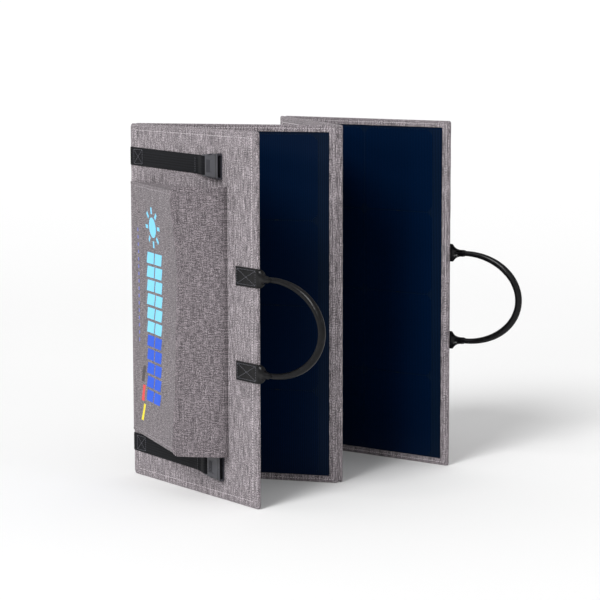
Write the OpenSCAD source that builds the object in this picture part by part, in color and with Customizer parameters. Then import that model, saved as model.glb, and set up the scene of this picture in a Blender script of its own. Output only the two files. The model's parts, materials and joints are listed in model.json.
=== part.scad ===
// Folding solar suitcase: four fabric-covered panels on three sewn folds, standing half open.
// Origin: bottom edge of panel 1, half way along it, on its mid-plane. +X runs along panel 1
// to its free edge, +Y points from its outer fabric face to its cell face, +Z is up.

/* [Panels] */
// Height of a panel, along the folds
panel_h = 530; // [520:1:560]
// Width of a panel, from fold to free edge
panel_w = 315; // [312:1:330]
// Thickness of a finished panel
panel_t = 5; // [5:0.1:6]
// Corner radius of a panel
corner_r = 4; // [2:0.5:6]
// Clear gap between two closed panels
fold_clear = 1.2; // [0.8:0.1:2]

/* [Folds] */
// Angle between panels 1 and 2 as it stands
fold_a_open = 37.2; // [5:0.1:60]
// Angle between panels 2 and 3 as it stands
fold_b_open = 58.4; // [5:0.1:90]
// Angle between panels 3 and 4 as it stands
fold_c_open = 36.5; // [5:0.1:60]

/* [Cells] */
// Side of one solar cell
cell_side = 125; // [120:0.5:125]
// Distance between neighbouring cell centres
cell_pitch = 126.5; // [126.5:0.1:127]
// Length of the cut across a cell's corner, along the side
cell_cut = 8; // [4:0.5:12]

/* [Border] */
// Width of the fabric border down the sides of the cell face
border_side = 13; // [8:0.5:20]
// Width of the fabric border along the top and bottom of the cell face
border_end = 10; // [6:0.5:10]

/* [Straps] */
// Width of the webbing
strap_w = 26; // [20:1:27]
// Thickness of the webbing
strap_t = 1.6; // [1.2:0.1:2]
// Height of the lower strap's middle
strap_low = 46; // [40:1:46]
// Height of the upper strap's middle
strap_high = 478; // [470:1:485]
// Length of strap sewn down, from the fold
strap_sewn = 192; // [180:1:196]

/* [Pouch] */
// Depth of the pouch at its mouth
pouch_d = 58; // [45:1:65]
// Distance of the mouth from fold A
pouch_u = 195; // [180:1:196]
// Bottom of the pouch
pouch_z0 = 68; // [67:1:80]
// Top of the pouch
pouch_z1 = 444; // [430:1:445]
// Length of the pouch flap along its height
flap_h = 385; // [380:1:388]

/* [Handles] */
// Distance between the two ends of a handle
handle_span = 134; // [120:1:140]
// Reach of a handle beyond the free edge
handle_reach = 117; // [112:1:120]
// Diameter of the rolled grip
grip_d = 10.5; // [9:0.5:12]
// Width of a handle's tab
tab_w = 28; // [24:1:32]
// Length of a handle's tab on the panel
tab_l = 49; // [40:1:52]
// Height of the middle of handle 1
handle_1_z = 260; // [240:1:270]
// Height of the middle of handle 2
handle_2_z = 263; // [240:1:270]
// Lean of handle 1 towards the cell side
handle_1_lean = 14.4; // [12:0.2:18]
// Lean of handle 2 towards the cell side
handle_2_lean = -6.4; // [-8:0.2:-4]

/* [Hidden] */
$fn = 48;

// Layers through a panel, from its outer face (-v) to its cell face (+v)
back = -panel_t / 2;
front = panel_t / 2;
cover_t = 0.8;
board_t = 1.5;
laminate_t = 1.2;
cell_t = 0.3;
ribbon_t = 0.15;
board_v = back + cover_t;
laminate_v = board_v + board_t;
cell_v = laminate_v + laminate_t;
wall = 1.2;
seat = wall + 0.2;

// Fold lines: each runs half the closed gap off the faces that meet when it shuts
fold_gap = 1.2;
hinge_v = front + fold_clear / 2;
dir_2 = fold_a_open;
dir_3 = fold_a_open - fold_b_open;
dir_4 = dir_3 + fold_c_open;
function turn(a, p) = [p[0] * cos(a) - p[1] * sin(a), p[0] * sin(a) + p[1] * cos(a)];
fold_a = [-panel_w / 2, hinge_v];
fold_b = fold_a + turn(dir_2, [panel_w, 2 * hinge_v]);
fold_c = fold_b + turn(dir_3, [-panel_w, 2 * hinge_v]);

web_r = sqrt(fold_gap * fold_gap + hinge_v * hinge_v);
web_t = 0.8;
web_end = 4;
strip_clear = 75;
lead_r = 1.9;
lead_t = 0.5;
lead_h = 12;

cells_across = 2;
cells_up = 4;
cells_z = 263.5;
ribbon_w = 6;
ribbon_end = 30;
ribbon_fit = 0.05;

// How far a cutting shape runs past what it cuts
past = 1;

// Webbing: where it starts, and the loop that holds the socket's bar
strap_u = fold_gap + 1;
loop_l = 5.6;
loop_rise = 8;
loop_tuck = 14;
under_bar = 6;

// Buckle socket: a neck with its bar, then a shell with a mouth and side windows
socket_l = 42;
socket_w = 37;
socket_t = 9.5;
socket_bar = 12;
buckle_w = 31;
neck_t = 4.2;
neck_v = -6.1;
bar_u = 5.2;
bar_gap = 4.5;
slot_w = 27;
mouth_v = -7.6;
mouth_t = 5.6;
mouth_w = 29;
window_u = 7;
window_l = 12;

// Buckle plug: a body with two webbing slots, a centre tongue and two prongs
plug_l = 22;
plug_t = 5;
plug_slots = [-5.2, -12.4];
plug_slot_l = 3.4;
plug_cut = 8;
tongue = [20.5, 2.6, 6];
tongue_v = 1.2;
prong_l = 26;
prong_t = 4;
prong_deep = 4.4;
prong_z = 11.2;
prong_root = 2.4;
prong_room = [6, 7.2];
barb = [3, 10, 12];
barb_rise = 5;

// Loose tail of webbing, hinged at the end of the sewn strap
tail_l = 130;
tail_gap = 0.6;
tail_stop = 1.8;
tail_ply = 0.02;
tail_v = back - strap_t - tail_gap;
tail_neck = [2.5, 2];
tail_roll = 1.5;
tail_hinge = [strap_sewn + tail_neck[0], tail_v - strap_t];
plug_u = tail_hinge[0] - tail_l - 4;
plug_v = tail_v - 5.4;

// Pouch and the flap over its mouth
flap_t = 2;
flap_corner = 8;
skin_t = 1.6;
pouch_start = 2;
pouch_lap = 0.4;
gusset_u = [12, 238];
seam_l = 12;
seam_t = 1;
flap_hinge = [246, back - 1.6];
flap_edge = [pouch_u, back - pouch_d];
flap_line = flap_edge - flap_hinge;
flap_off = flap_t / 2 + 0.6;
flap_dir = atan2(flap_line[1], flap_line[0]) + 360 + asin(flap_off / norm(flap_line));
flap_l = norm(flap_line) + 3;
flap_z = 257.5;
tape_w = 20;
tape_h = 340;
tape_t = 0.9;

box_u = 60;
box_l = 50;
box_h = 84;
box_t = 11;
box_wall = 2;
box_corner = 4;
lid_t = 1.8;
diode_d = 5.4;
diode_l = 20;
diode_pitch = 24;
diode_u = 14;

tab_t = 2.2;
leaf_l = 24;
grip_r = grip_d / 2;
core_r = 3;
leg_l = handle_reach - grip_r - handle_span / 2;
handle_hinge = [panel_w + 1.6, back - tab_t / 2];

FABRIC = "#9d9593";
NAVY = "#00122a";
BLACK = "#1b1b1d";

// Puts a panel's own frame in place: u along it from its fold, v to its cell face, z up
module on_panel(n) {
  if (n == 1) translate([fold_a[0], 0, 0]) children();
  if (n == 2) translate([fold_a[0], fold_a[1], 0]) rotate(dir_2) mirror([0, 1, 0])
    translate([0, -hinge_v, 0]) children();
  if (n == 3) translate([fold_b[0], fold_b[1], 0]) rotate(dir_3)
    translate([-panel_w, hinge_v, 0]) children();
  if (n == 4) translate([fold_c[0], fold_c[1], 0]) rotate(dir_4) mirror([0, 1, 0])
    translate([0, -hinge_v, 0]) children();
}

// Panels 1 and 4 run out to a free edge; panels 2 and 3 stop short of a second fold
function right_edge(n) = (n == 1 || n == 4) ? panel_w : panel_w - fold_gap;
function plate_w(n) = right_edge(n) - fold_gap;

// A rectangle in the panel's plane, raised from v0 by t
module slab(u0, z0, w, h, v0, t) translate([u0, v0, z0]) cube([w, t, h]);

// The same with round corners
module round_slab(u0, z0, w, h, v0, t, r) {
  translate([u0, v0 + t, z0]) rotate([90, 0, 0]) linear_extrude(t) {
    translate([r, 0]) square([w - 2 * r, h]);
    translate([0, r]) square([w, h - 2 * r]);
    for (x = [r, w - r], y = [r, h - r]) translate([x, y]) circle(r);
  }
}

// Outline in the plan of a panel, raised from z0 by h
module wall_up(points, z0, h) translate([0, 0, z0]) linear_extrude(h) polygon(points);

// Outer fabric: back sheet with turned-up edges
module cover(n) color(FABRIC) on_panel(n) difference() {
  round_slab(fold_gap, 0, plate_w(n), panel_h, back, panel_t, corner_r);
  slab(fold_gap + wall, wall, plate_w(n) - 2 * wall, panel_h - 2 * wall, board_v, panel_t);
}

// Border on the cell face: four strips with mitred corners
module border(n) color(FABRIC) on_panel(n) {
  w = plate_w(n);
  outer = [[seat, seat], [w - seat, seat], [w - seat, panel_h - seat], [seat, panel_h - seat]];
  inner = [[border_side, border_end], [w - border_side, border_end],
           [w - border_side, panel_h - border_end], [border_side, panel_h - border_end]];
  translate([fold_gap, front, 0]) rotate([90, 0, 0]) linear_extrude(front - cell_v)
    for (i = [0:3]) polygon([outer[i], outer[(i + 1) % 4], inner[(i + 1) % 4], inner[i]]);
}

// Stiffening board
module board(n) color("#c9b48a") on_panel(n)
  slab(fold_gap + seat, seat, plate_w(n) - 2 * seat, panel_h - 2 * seat, board_v, board_t);

// Places its children at each cell's centre, in the panel's plane
module at_cells() {
  for (i = [0:cells_across - 1], j = [0:cells_up - 1])
    translate([panel_w / 2 + (i - (cells_across - 1) / 2) * cell_pitch, 0,
               cells_z + (j - (cells_up - 1) / 2) * cell_pitch]) children();
}

// Conductor strips that join the cells up each column
module ribbon_set(grow = 0) {
  for (i = [0:cells_across - 1])
    translate([panel_w / 2 + (i - 0.5) * cell_pitch - ribbon_w / 2 - grow,
               cell_v - ribbon_t - grow, ribbon_end - grow])
      cube([ribbon_w + 2 * grow, ribbon_t + grow, panel_h - 2 * ribbon_end + 2 * grow]);
}

// Backing laminate under the cells
module laminate(n) color("#06203c") on_panel(n) difference() {
  slab(fold_gap + seat, seat, plate_w(n) - 2 * seat, panel_h - 2 * seat, laminate_v, laminate_t);
  ribbon_set(ribbon_fit);
}

module ribbons(n) color("#b9bcc0") on_panel(n) ribbon_set();

// Square cells with cut corners
module cells(n) color(NAVY) on_panel(n) at_cells() {
  a = cell_side / 2;
  b = a - cell_cut;
  translate([0, cell_v + cell_t, 0]) rotate([90, 0, 0]) linear_extrude(cell_t)
    polygon([[-a, -b], [-b, -a], [b, -a], [a, -b], [a, b], [b, a], [-b, a], [-a, b]]);
}

// A strip bent round a fold line, from one panel's edge round the outside to the other's
module fold_strip(at, start, open, r, t, z0, h) translate([at[0], at[1], z0]) rotate(start)
  rotate_extrude(angle = 360 - 2 * strip_clear - open) translate([r - t / 2, 0]) square([t, h]);

// The same round fold "a", "b" or "c"
module round_fold(n, r, t, z0, h) {
  if (n == "a") fold_strip(fold_a, dir_2 + strip_clear, fold_a_open, r, t, z0, h);
  if (n == "b") fold_strip(fold_b, dir_2 + strip_clear - 180, fold_b_open, r, t, z0, h);
  if (n == "c") fold_strip(fold_c, dir_4 + strip_clear, fold_c_open, r, t, z0, h);
}

// Fabric that joins two panels
module web(n) color(FABRIC) round_fold(n, web_r, web_t, web_end, panel_h - 2 * web_end);

// Flat lead that carries the current across a fold
module lead(n) color(BLACK) round_fold(n, lead_r, lead_t, (panel_h - lead_h) / 2, lead_h);

// Webbing sewn to the outer face; z is the height of its middle
module sewn_strap(n, z) color(BLACK) on_panel(n)
  slab(strap_u, z - strap_w / 2, strap_sewn - strap_u, strap_w, back - strap_t, strap_t);

// Webbing that ends in a loop round the socket's bar
module looped_strap(z) color(BLACK) on_panel(1) {
  slab(strap_u, z - strap_w / 2, strap_sewn + under_bar, strap_w, back - strap_t, strap_t);
  slab(strap_sewn + loop_l, z - strap_w / 2, strap_t, strap_w, back - loop_rise, loop_rise);
  slab(strap_sewn - loop_tuck, z - strap_w / 2, loop_tuck + loop_l + strap_t, strap_w,
       back - loop_rise, strap_t);
}

// Socket half of a side-release buckle, with its mouth towards the free edge
module socket(z) color(BLACK) on_panel(1) translate([strap_sewn, back, z]) difference() {
  union() {
    translate([0, neck_v, -buckle_w / 2]) cube([socket_bar + 2, neck_t, buckle_w]);
    translate([socket_bar, -socket_t, -socket_w / 2]) cube([socket_l - socket_bar, socket_t, socket_w]);
  }
  translate([bar_u, -socket_t, -slot_w / 2]) cube([bar_gap, socket_t, slot_w]);
  translate([socket_bar + 2, mouth_v, -mouth_w / 2]) cube([socket_l, mouth_t, mouth_w]);
  translate([socket_bar + window_u, mouth_v, -socket_w / 2 - past])
    cube([window_l, mouth_t, socket_w + 2 * past]);
}

// Loose strap tail, doubled, lying back along the sewn strap of panel 4
module tail(z) color(BLACK) on_panel(4) {
  for (k = [0, 1])
    slab(tail_hinge[0] - tail_l, z - strap_w / 2, tail_l - tail_stop, strap_w,
         tail_v - strap_t - k * (strap_t + tail_ply), strap_t);
  translate([tail_hinge[0], tail_hinge[1], z - strap_w / 2]) {
    cylinder(r = tail_roll, h = strap_w);
    translate([-tail_neck[0], -tail_neck[1] / 2, 0]) cube([tail_neck[0], tail_neck[1], strap_w]);
  }
}

// Plug half of the buckle: ladder bars, body and centre tongue
module plug(z) color(BLACK) on_panel(4) translate([plug_u, plug_v, z]) difference() {
  union() {
    translate([-plug_l, 0, -buckle_w / 2]) cube([plug_l, plug_t, buckle_w]);
    translate([-plug_l - tongue[0] + 0.5, tongue_v, -tongue[2] / 2]) cube(tongue);
  }
  for (u = plug_slots) translate([u, -past, -slot_w / 2]) cube([plug_slot_l, plug_cut, slot_w]);
  for (s = [-1, 1]) translate([-plug_l - past, -past, s * prong_z - prong_room[1] / 2])
    cube([prong_room[0], plug_cut, prong_room[1]]);
}

// One spring prong of the plug; s is which side of the tongue it is on
module prong(z, s) color(BLACK) on_panel(4)
  translate([plug_u - plug_l + prong_root, plug_v + (plug_t - prong_deep) / 2, z + s * prong_z]) {
    rotate([-90, 0, 0]) cylinder(r = prong_t / 2, h = prong_deep);
    translate([-prong_l, 0, -prong_t / 2]) cube([prong_l, prong_deep, prong_t]);
    translate([-prong_l, 0, 0]) rotate([-90, 0, 0]) linear_extrude(prong_deep)
      polygon([[0, 0], [barb[2], 0], [barb[2], -s * prong_t / 2], [barb[1], -s * barb_rise],
               [barb[0], -s * prong_t / 2]]);
  }

// Front of the wedge-shaped pouch
module pouch_front() color(FABRIC) on_panel(1)
  wall_up([[pouch_start, back - pouch_start], [pouch_u, back - pouch_d],
           [pouch_u, back - pouch_d + skin_t], [pouch_start, back - pouch_lap]],
          pouch_z0, pouch_z1 - pouch_z0);

// Triangular end of the pouch
module gusset(z0) color(FABRIC) on_panel(1)
  wall_up([[gusset_u[0], back], [pouch_u, back - pouch_d + skin_t + 1], [gusset_u[1], back]], z0, skin_t);

// Hem that sews the flap to the panel
module flap_seam() color(FABRIC) on_panel(1)
  slab(flap_hinge[0] + 2, flap_z - flap_h / 2, seam_l, flap_h, back - seam_t, seam_t);

// Places its children along the flap: x out from its hinge, y through its thickness
module along_flap() on_panel(1)
  translate([flap_hinge[0], flap_hinge[1], flap_z]) rotate(flap_dir) children();

module pouch_flap() color(FABRIC) along_flap() {
  round_slab(0, -flap_h / 2, flap_l, flap_h, -flap_t / 2, flap_t, flap_corner);
  translate([0, 0, -flap_h / 2 + flap_corner]) cylinder(r = flap_t / 2, h = flap_h - 2 * flap_corner);
}

// Hook strip under the flap's end, inside the pouch mouth
module hook_tape() color(BLACK) along_flap()
  slab(flap_l - tape_w - 5, -tape_h / 2, tape_w, tape_h, -flap_t / 2 - tape_t, tape_t);

// Loop strip inside the pouch front, at the mouth
module loop_tape() color(BLACK) on_panel(1) {
  rise = (pouch_d - pouch_start) / (pouch_u - pouch_start);
  u0 = pouch_u - tape_w - 4;
  v0 = back - pouch_lap - rise * (u0 - pouch_start) + 0.1;
  v1 = v0 - rise * tape_w;
  wall_up([[u0, v0], [u0 + tape_w, v1], [u0 + tape_w, v1 + tape_t], [u0, v0 + tape_t]],
          flap_z - tape_h / 2, tape_h);
}

// Junction box on the panel's outer face, inside the pouch
module junction_box() color(BLACK) on_panel(1) difference() {
  round_slab(box_u, flap_z - box_h / 2, box_l, box_h, back - box_t, box_t, box_corner);
  slab(box_u + box_wall, flap_z - box_h / 2 + box_wall, box_l - 2 * box_wall, box_h - 2 * box_wall,
       back - box_t - past, box_t + past - box_wall);
}

module junction_lid() color(BLACK) on_panel(1)
  round_slab(box_u, flap_z - box_h / 2, box_l, box_h, back - box_t - lid_t, lid_t, box_corner);

// Bypass diodes on the box floor
module bypass_diodes() color("#2a2a2c") on_panel(1) for (k = [-1:1])
  translate([box_u + diode_u, back - box_wall - diode_d / 2, flap_z + k * diode_pitch])
    rotate([0, 90, 0]) cylinder(d = diode_d, h = diode_l);

// The two sewn tabs of a handle
module tabs(n, z) color(BLACK) on_panel(n) for (s = [-1, 1])
  slab(panel_w - tab_l, z + s * handle_span / 2 - tab_w / 2, tab_l, tab_w, back - tab_t, tab_t);

// Handle frame: x out from the free edge, z along it
module on_handle(n, z, lean) on_panel(n)
  translate([handle_hinge[0], handle_hinge[1], z]) rotate(lean) children();

// Sweeps a round section of radius r along a handle's two legs and bend
module handle_run(r, start) {
  for (s = [-1, 1]) translate([start, 0, s * handle_span / 2]) rotate([0, 90, 0])
    cylinder(r = r, h = leg_l - start);
  translate([leg_l, 0, 0]) rotate([90, 90, 0]) rotate_extrude(angle = 180)
    translate([handle_span / 2, 0]) circle(r);
}

// Rolled grip, with a flat leaf at each end that runs on from its tab
module grip(n, z, lean) color(BLACK) on_handle(n, z, lean) difference() {
  union() {
    handle_run(grip_r, leaf_l + 2);
    for (s = [-1, 1]) translate([0, 0, s * handle_span / 2]) {
      translate([0, 0, -tab_w / 2]) cylinder(r = tab_t / 2, h = tab_w);
      translate([0, tab_t / 2, 0]) rotate([90, 0, 0]) linear_extrude(tab_t)
        polygon([[0, -tab_w / 2], [0, tab_w / 2], [leaf_l, grip_r], [leaf_l, -grip_r]]);
      translate([leaf_l / 2, 0, 0]) rotate([0, 90, 0]) cylinder(r1 = 1, r2 = grip_r, h = leaf_l / 2 + 2);
    }
  }
  handle_run(core_r, leaf_l + 4);
}

// Rope inside the grip
module core(n, z, lean) color("#d8d3c8") on_handle(n, z, lean) handle_run(core_r - 0.02, leaf_l + 4.1);

for (n = [1:4]) {
  cover(n);
  border(n);
  board(n);
  laminate(n);
  cells(n);
  ribbons(n);
}
for (n = ["a", "b", "c"]) {
  web(n);
  lead(n);
}
looped_strap(strap_high);  // strap_1_top
looped_strap(strap_low);  // strap_1_bottom
socket(strap_high);  // socket_top
socket(strap_low);  // socket_bottom
sewn_strap(4, strap_high);  // strap_4_top
sewn_strap(4, strap_low);  // strap_4_bottom
tail(strap_high);  // tail_top
tail(strap_low);  // tail_bottom
plug(strap_high);  // plug_top
plug(strap_low);  // plug_bottom
prong(strap_high, 1);  // prong_top_upper
prong(strap_high, -1);  // prong_top_lower
prong(strap_low, 1);  // prong_bottom_upper
prong(strap_low, -1);  // prong_bottom_lower
pouch_front();
gusset(pouch_z1);  // gusset_top
gusset(pouch_z0 - skin_t);  // gusset_bottom
flap_seam();
pouch_flap();
hook_tape();
loop_tape();
junction_box();
junction_lid();
bypass_diodes();
tabs(1, handle_1_z);  // handle_1_tabs
grip(1, handle_1_z, handle_1_lean);  // handle_1_grip
core(1, handle_1_z, handle_1_lean);  // handle_1_core
tabs(4, handle_2_z);  // handle_2_tabs
grip(4, handle_2_z, handle_2_lean);  // handle_2_grip
core(4, handle_2_z, handle_2_lean);  // handle_2_core
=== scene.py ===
# %% [markdown]
# # A folding solar suitcase
# Four panels of cells in grey cloth stand in a zig-zag on three sewn folds. The engineering model
# fixes every size, hinge and joint. This lesson dresses it: cloth, webbing, leather, film and print.
# The frame is loaded first.

# %% The frame
import bpy
import bmesh
import json
import math
from mathutils import Matrix, Vector, noise


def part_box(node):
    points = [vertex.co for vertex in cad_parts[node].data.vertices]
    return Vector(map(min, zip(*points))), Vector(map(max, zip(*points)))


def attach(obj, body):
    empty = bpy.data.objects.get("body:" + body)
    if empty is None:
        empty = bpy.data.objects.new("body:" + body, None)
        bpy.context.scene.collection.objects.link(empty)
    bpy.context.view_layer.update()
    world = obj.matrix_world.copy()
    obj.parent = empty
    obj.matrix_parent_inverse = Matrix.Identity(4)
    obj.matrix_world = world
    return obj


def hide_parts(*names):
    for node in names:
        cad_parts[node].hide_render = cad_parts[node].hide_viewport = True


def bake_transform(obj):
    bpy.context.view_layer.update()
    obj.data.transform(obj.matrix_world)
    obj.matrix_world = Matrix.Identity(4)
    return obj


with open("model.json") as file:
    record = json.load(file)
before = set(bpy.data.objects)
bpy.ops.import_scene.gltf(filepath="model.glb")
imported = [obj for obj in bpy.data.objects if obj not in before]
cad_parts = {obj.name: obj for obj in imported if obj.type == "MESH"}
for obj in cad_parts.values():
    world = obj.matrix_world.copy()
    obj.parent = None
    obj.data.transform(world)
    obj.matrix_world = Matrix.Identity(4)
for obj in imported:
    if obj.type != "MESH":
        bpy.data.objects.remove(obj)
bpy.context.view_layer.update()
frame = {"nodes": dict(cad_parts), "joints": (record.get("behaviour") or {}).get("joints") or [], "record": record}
bpy.ops.object.select_all(action="DESELECT")
MM = 0.001

# %% [markdown]
# ## Where the panels stand
# Each panel has a frame of its own: u runs along it from its fold, v points out of its cell face,
# and z is up. Shapes are modelled in that frame, in millimetres, and one matrix then puts them in the
# scene, in metres. A fold's low limit is the shut case, so the angle that it stands open is minus
# that limit. Panels 2 and 4 are turned over by a mirror of v, so one recipe serves all four.

# %% Panel frames
joints = {joint["name"]: joint for joint in frame["joints"]}
mounts = {mount["name"]: mount for mount in frame["record"]["mounts"]}
fold_at = {letter: Vector(joints["fold_" + letter]["pos_m"]) for letter in "abc"}
opened = {letter: math.radians(-joints["fold_" + letter]["range_deg"][0]) for letter in "abc"}


def node_box(node):
    """Corners of a node on panel 1, in that panel's own frame, in millimetres."""
    start = Vector((fold_at["a"].x, 0, 0))
    return [(corner - start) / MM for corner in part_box(node)]


case_low, case_high = node_box("panel_1_cover")
FOLD_GAP, BACK, FRONT = case_low.x, case_low.y, case_high.y
PANEL_W, PANEL_H = case_high.x, case_high.z
HINGE_V = fold_at["a"].y / MM
turn = {1: 0, 2: opened["a"]}
turn[3] = turn[2] - opened["b"]
turn[4] = turn[3] + opened["c"]
TO_METRES = Matrix.Scale(MM, 4)
TURN_OVER = Matrix.Scale(-1, 4, (0, 1, 0))


def stand(at, angle, shift, turned_over=False):
    """From a panel's own frame, in millimetres, to the scene, in metres."""
    flip = TURN_OVER if turned_over else Matrix()
    turned = Matrix.Translation(at) @ Matrix.Rotation(angle, 4, "Z") @ flip
    return turned @ TO_METRES @ Matrix.Translation(shift)


PANEL = {
    1: stand(fold_at["a"], 0, (0, -HINGE_V, 0)),
    2: stand(fold_at["a"], turn[2], (0, -HINGE_V, 0), True),
    3: stand(fold_at["b"], turn[3], (-PANEL_W, HINGE_V, 0)),
    4: stand(fold_at["c"], turn[4], (0, -HINGE_V, 0), True),
}
print("panel, mm:", [round(side, 1) for side in (PANEL_W, FRONT - BACK, PANEL_H)])

# %% [markdown]
# ## Camera, floor and light
# A long lens from about three metres keeps the upright edges close to parallel. The light is a
# plain white studio: a pale sheet that sweeps up behind the case, an even white room, one broad high
# light from the front, and two small lamps whose reflections draw the bright lines on leather and
# plastic. The plain sRGB view keeps each finish near the colour that its material names.

# %% Camera
LENS, EYE = 127.5, (2.4974, -1.7476, 0.6845)
HEADING, DOWN, ROLL = math.radians(142.13), math.radians(7.56), math.radians(-0.124)
camera_data = bpy.data.cameras.new("camera")
camera_data.lens = LENS
camera = bpy.data.objects.new("camera", camera_data)
bpy.context.scene.collection.objects.link(camera)
camera.location = EYE
camera.rotation_euler = (
    Matrix.Rotation(HEADING - math.pi / 2, 3, "Z")
    @ Matrix.Rotation(math.pi / 2 - DOWN, 3, "X")
    @ Matrix.Rotation(ROLL, 3, "Z")
).to_euler()
bpy.context.scene.camera = camera
bpy.context.scene.view_settings.view_transform = "Standard"
print("lens, mm:", camera_data.lens)


# %% Tools for finishes
def linear(hex_colour, alpha=1.0):
    """An sRGB hex colour as the linear RGBA that shaders work in."""
    parts = [int(hex_colour[i:i + 2], 16) / 255 for i in (1, 3, 5)]
    return [p / 12.92 if p <= 0.04045 else ((p + 0.055) / 1.055) ** 2.4 for p in parts] + [alpha]


def add(tree, kind, links=None, stops=(), **fields):
    """Adds a node. Links are numbers, colours or other nodes' outputs; stops are the places and hex
    colours of a ramp; fields are the node's own settings."""
    made = tree.nodes.new("ShaderNode" + kind)
    for field, value in fields.items():
        setattr(made, field, value)
    for place, colour in stops[2:]:
        made.color_ramp.elements.new(place)
    for number, (place, colour) in enumerate(stops):
        made.color_ramp.elements[number].position = place
        made.color_ramp.elements[number].color = linear(colour)
    for socket, value in (links or {}).items():
        if isinstance(value, bpy.types.NodeSocket):
            tree.links.new(value, made.inputs[socket])
        else:
            made.inputs[socket].default_value = value
    return made


def new_finish(name, colour, roughness, **sockets):
    """A material with its shader's own sockets set, and the shader and node tree to add detail to."""
    material = bpy.data.materials.new(name)
    material.use_nodes = True
    material.diffuse_color = linear(colour)
    shader = material.node_tree.nodes["Principled BSDF"]
    shader.inputs["Base Color"].default_value = linear(colour)
    shader.inputs["Roughness"].default_value = roughness
    for socket, value in sockets.items():
        shader.inputs[socket.replace("_", " ")].default_value = value
    return material, shader, material.node_tree


def tint(tree, shader, value, stops):
    """Colours a finish by a value, through a ramp of places and hex colours."""
    tone = add(tree, "ValToRGB", {"Fac": value}, stops)
    tree.links.new(tone.outputs["Color"], shader.inputs["Base Color"])


def emboss(tree, shader, height, strength, deep):
    """Gives a finish the relief of a height, to a depth in millimetres."""
    bump = add(tree, "Bump", {"Height": height, "Strength": strength, "Distance": deep * MM})
    tree.links.new(bump.outputs[0], shader.inputs["Normal"])


# %% Lights
ROOM_STRENGTH, SUN_STRENGTH, SUN_WIDTH, LAMP_SIZE = 0.56, 2.05, math.radians(24), 0.5
SUN_PATH = Vector((-0.24, 0.8, -0.72))


def soft_light(name, place, aim, size, watts):
    """A round lamp at a place, in metres, that points at its aim."""
    lamp = bpy.data.lights.new(name, "AREA")
    lamp.shape, lamp.size, lamp.energy = "DISK", size, watts
    lamp_object = bpy.data.objects.new(name, lamp)
    lamp_object.location = place
    lamp_object.rotation_euler = (Vector(aim) - Vector(place)).to_track_quat("-Z", "Y").to_euler()
    bpy.context.scene.collection.objects.link(lamp_object)


world = bpy.data.worlds.new("studio")
bpy.context.scene.world = world
world.use_nodes = True
world.node_tree.nodes["Background"].inputs["Color"].default_value = linear("#ffffff")
world.node_tree.nodes["Background"].inputs["Strength"].default_value = ROOM_STRENGTH
sun = bpy.data.objects.new("sun", bpy.data.lights.new("sun", "SUN"))
sun.data.energy, sun.data.angle = SUN_STRENGTH, SUN_WIDTH
sun.rotation_euler = SUN_PATH.to_track_quat("-Z", "Y").to_euler()
bpy.context.scene.collection.objects.link(sun)
soft_light("key", (0.9, -2.4, 1.3), (0, 0.1, 0.3), LAMP_SIZE, 11)
soft_light("fill", (3.2, 0.6, 1.6), (0, 0.2, 0.3), LAMP_SIZE, 6)

# %% [markdown]
# ## Tools for shaping
# The same few moves come back all through the lesson: pick faces or edges and go into edit mode,
# apply a modifier, cut one block out of another, and lay a grid along a curve or over a form. Soft
# goods and webbing start as a grid primitive, because its points can be moved one by one by a rule.


# %% Picking, cutting and placing
def object_mode():
    """Leaves edit mode, if a piece is open in it."""
    if bpy.context.mode != "OBJECT":
        bpy.ops.object.mode_set(mode="OBJECT")


def choose(piece):
    """Makes one piece the only one selected, and the active one."""
    object_mode()
    bpy.ops.object.select_all(action="DESELECT")
    piece.select_set(True)
    bpy.context.view_layer.objects.active = piece


def pick(piece, wanted, kind="FACE"):
    """Opens a piece in edit mode with only the wanted faces, edges or vertices selected."""
    choose(piece)
    bpy.ops.object.mode_set(mode="EDIT")
    bpy.ops.mesh.select_mode(type=kind)
    bpy.ops.mesh.select_all(action="DESELECT")
    mesh = bmesh.from_edit_mesh(piece.data)
    for item in {"FACE": mesh.faces, "EDGE": mesh.edges, "VERT": mesh.verts}[kind]:
        if wanted(item):
            item.select_set(True)
    mesh.select_flush_mode()
    bmesh.update_edit_mesh(piece.data)


def apply(piece, kind, **fields):
    """Adds a modifier to a piece and applies it."""
    choose(piece)
    modifier = piece.modifiers.new(kind.lower(), kind)
    for field, value in fields.items():
        setattr(modifier, field, value)
    bpy.ops.object.modifier_apply(modifier=modifier.name)


def block(name, low, high):
    """A cube primitive between two corners, with its place in its mesh."""
    object_mode()
    low, high = Vector(low), Vector(high)
    bpy.ops.object.select_all(action="DESELECT")
    bpy.ops.mesh.primitive_cube_add(size=1, location=(low + high) / 2)
    piece = bpy.context.object
    piece.name = piece.data.name = name
    piece.scale = high - low
    bpy.ops.object.transform_apply(location=True, rotation=True, scale=True)
    return piece


def combine(piece, tool, operation="DIFFERENCE"):
    """Cuts a tool's shape out of a piece, or joins it on, and throws the tool away."""
    apply(piece, "BOOLEAN", object=tool, operation=operation, solver="EXACT")
    bpy.data.meshes.remove(tool.data)


def slice_at(piece, axis, places):
    """Cuts new edges across a piece at each place along an axis, for its cloth to bend at."""
    pick(piece, lambda face: True)
    for place in places:
        normal = Vector([1.0 if i == axis else 0.0 for i in range(3)])
        bpy.ops.mesh.select_all(action="SELECT")
        bpy.ops.mesh.bisect(plane_co=normal * place, plane_no=normal)
    object_mode()


def rubbed_edges(piece, width, angle=30, segments=2):
    """Rounds every edge that is sharper than an angle, as wear does."""
    apply(piece, "BEVEL", width=width, segments=segments, limit_method="ANGLE",
          angle_limit=math.radians(angle))


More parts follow.
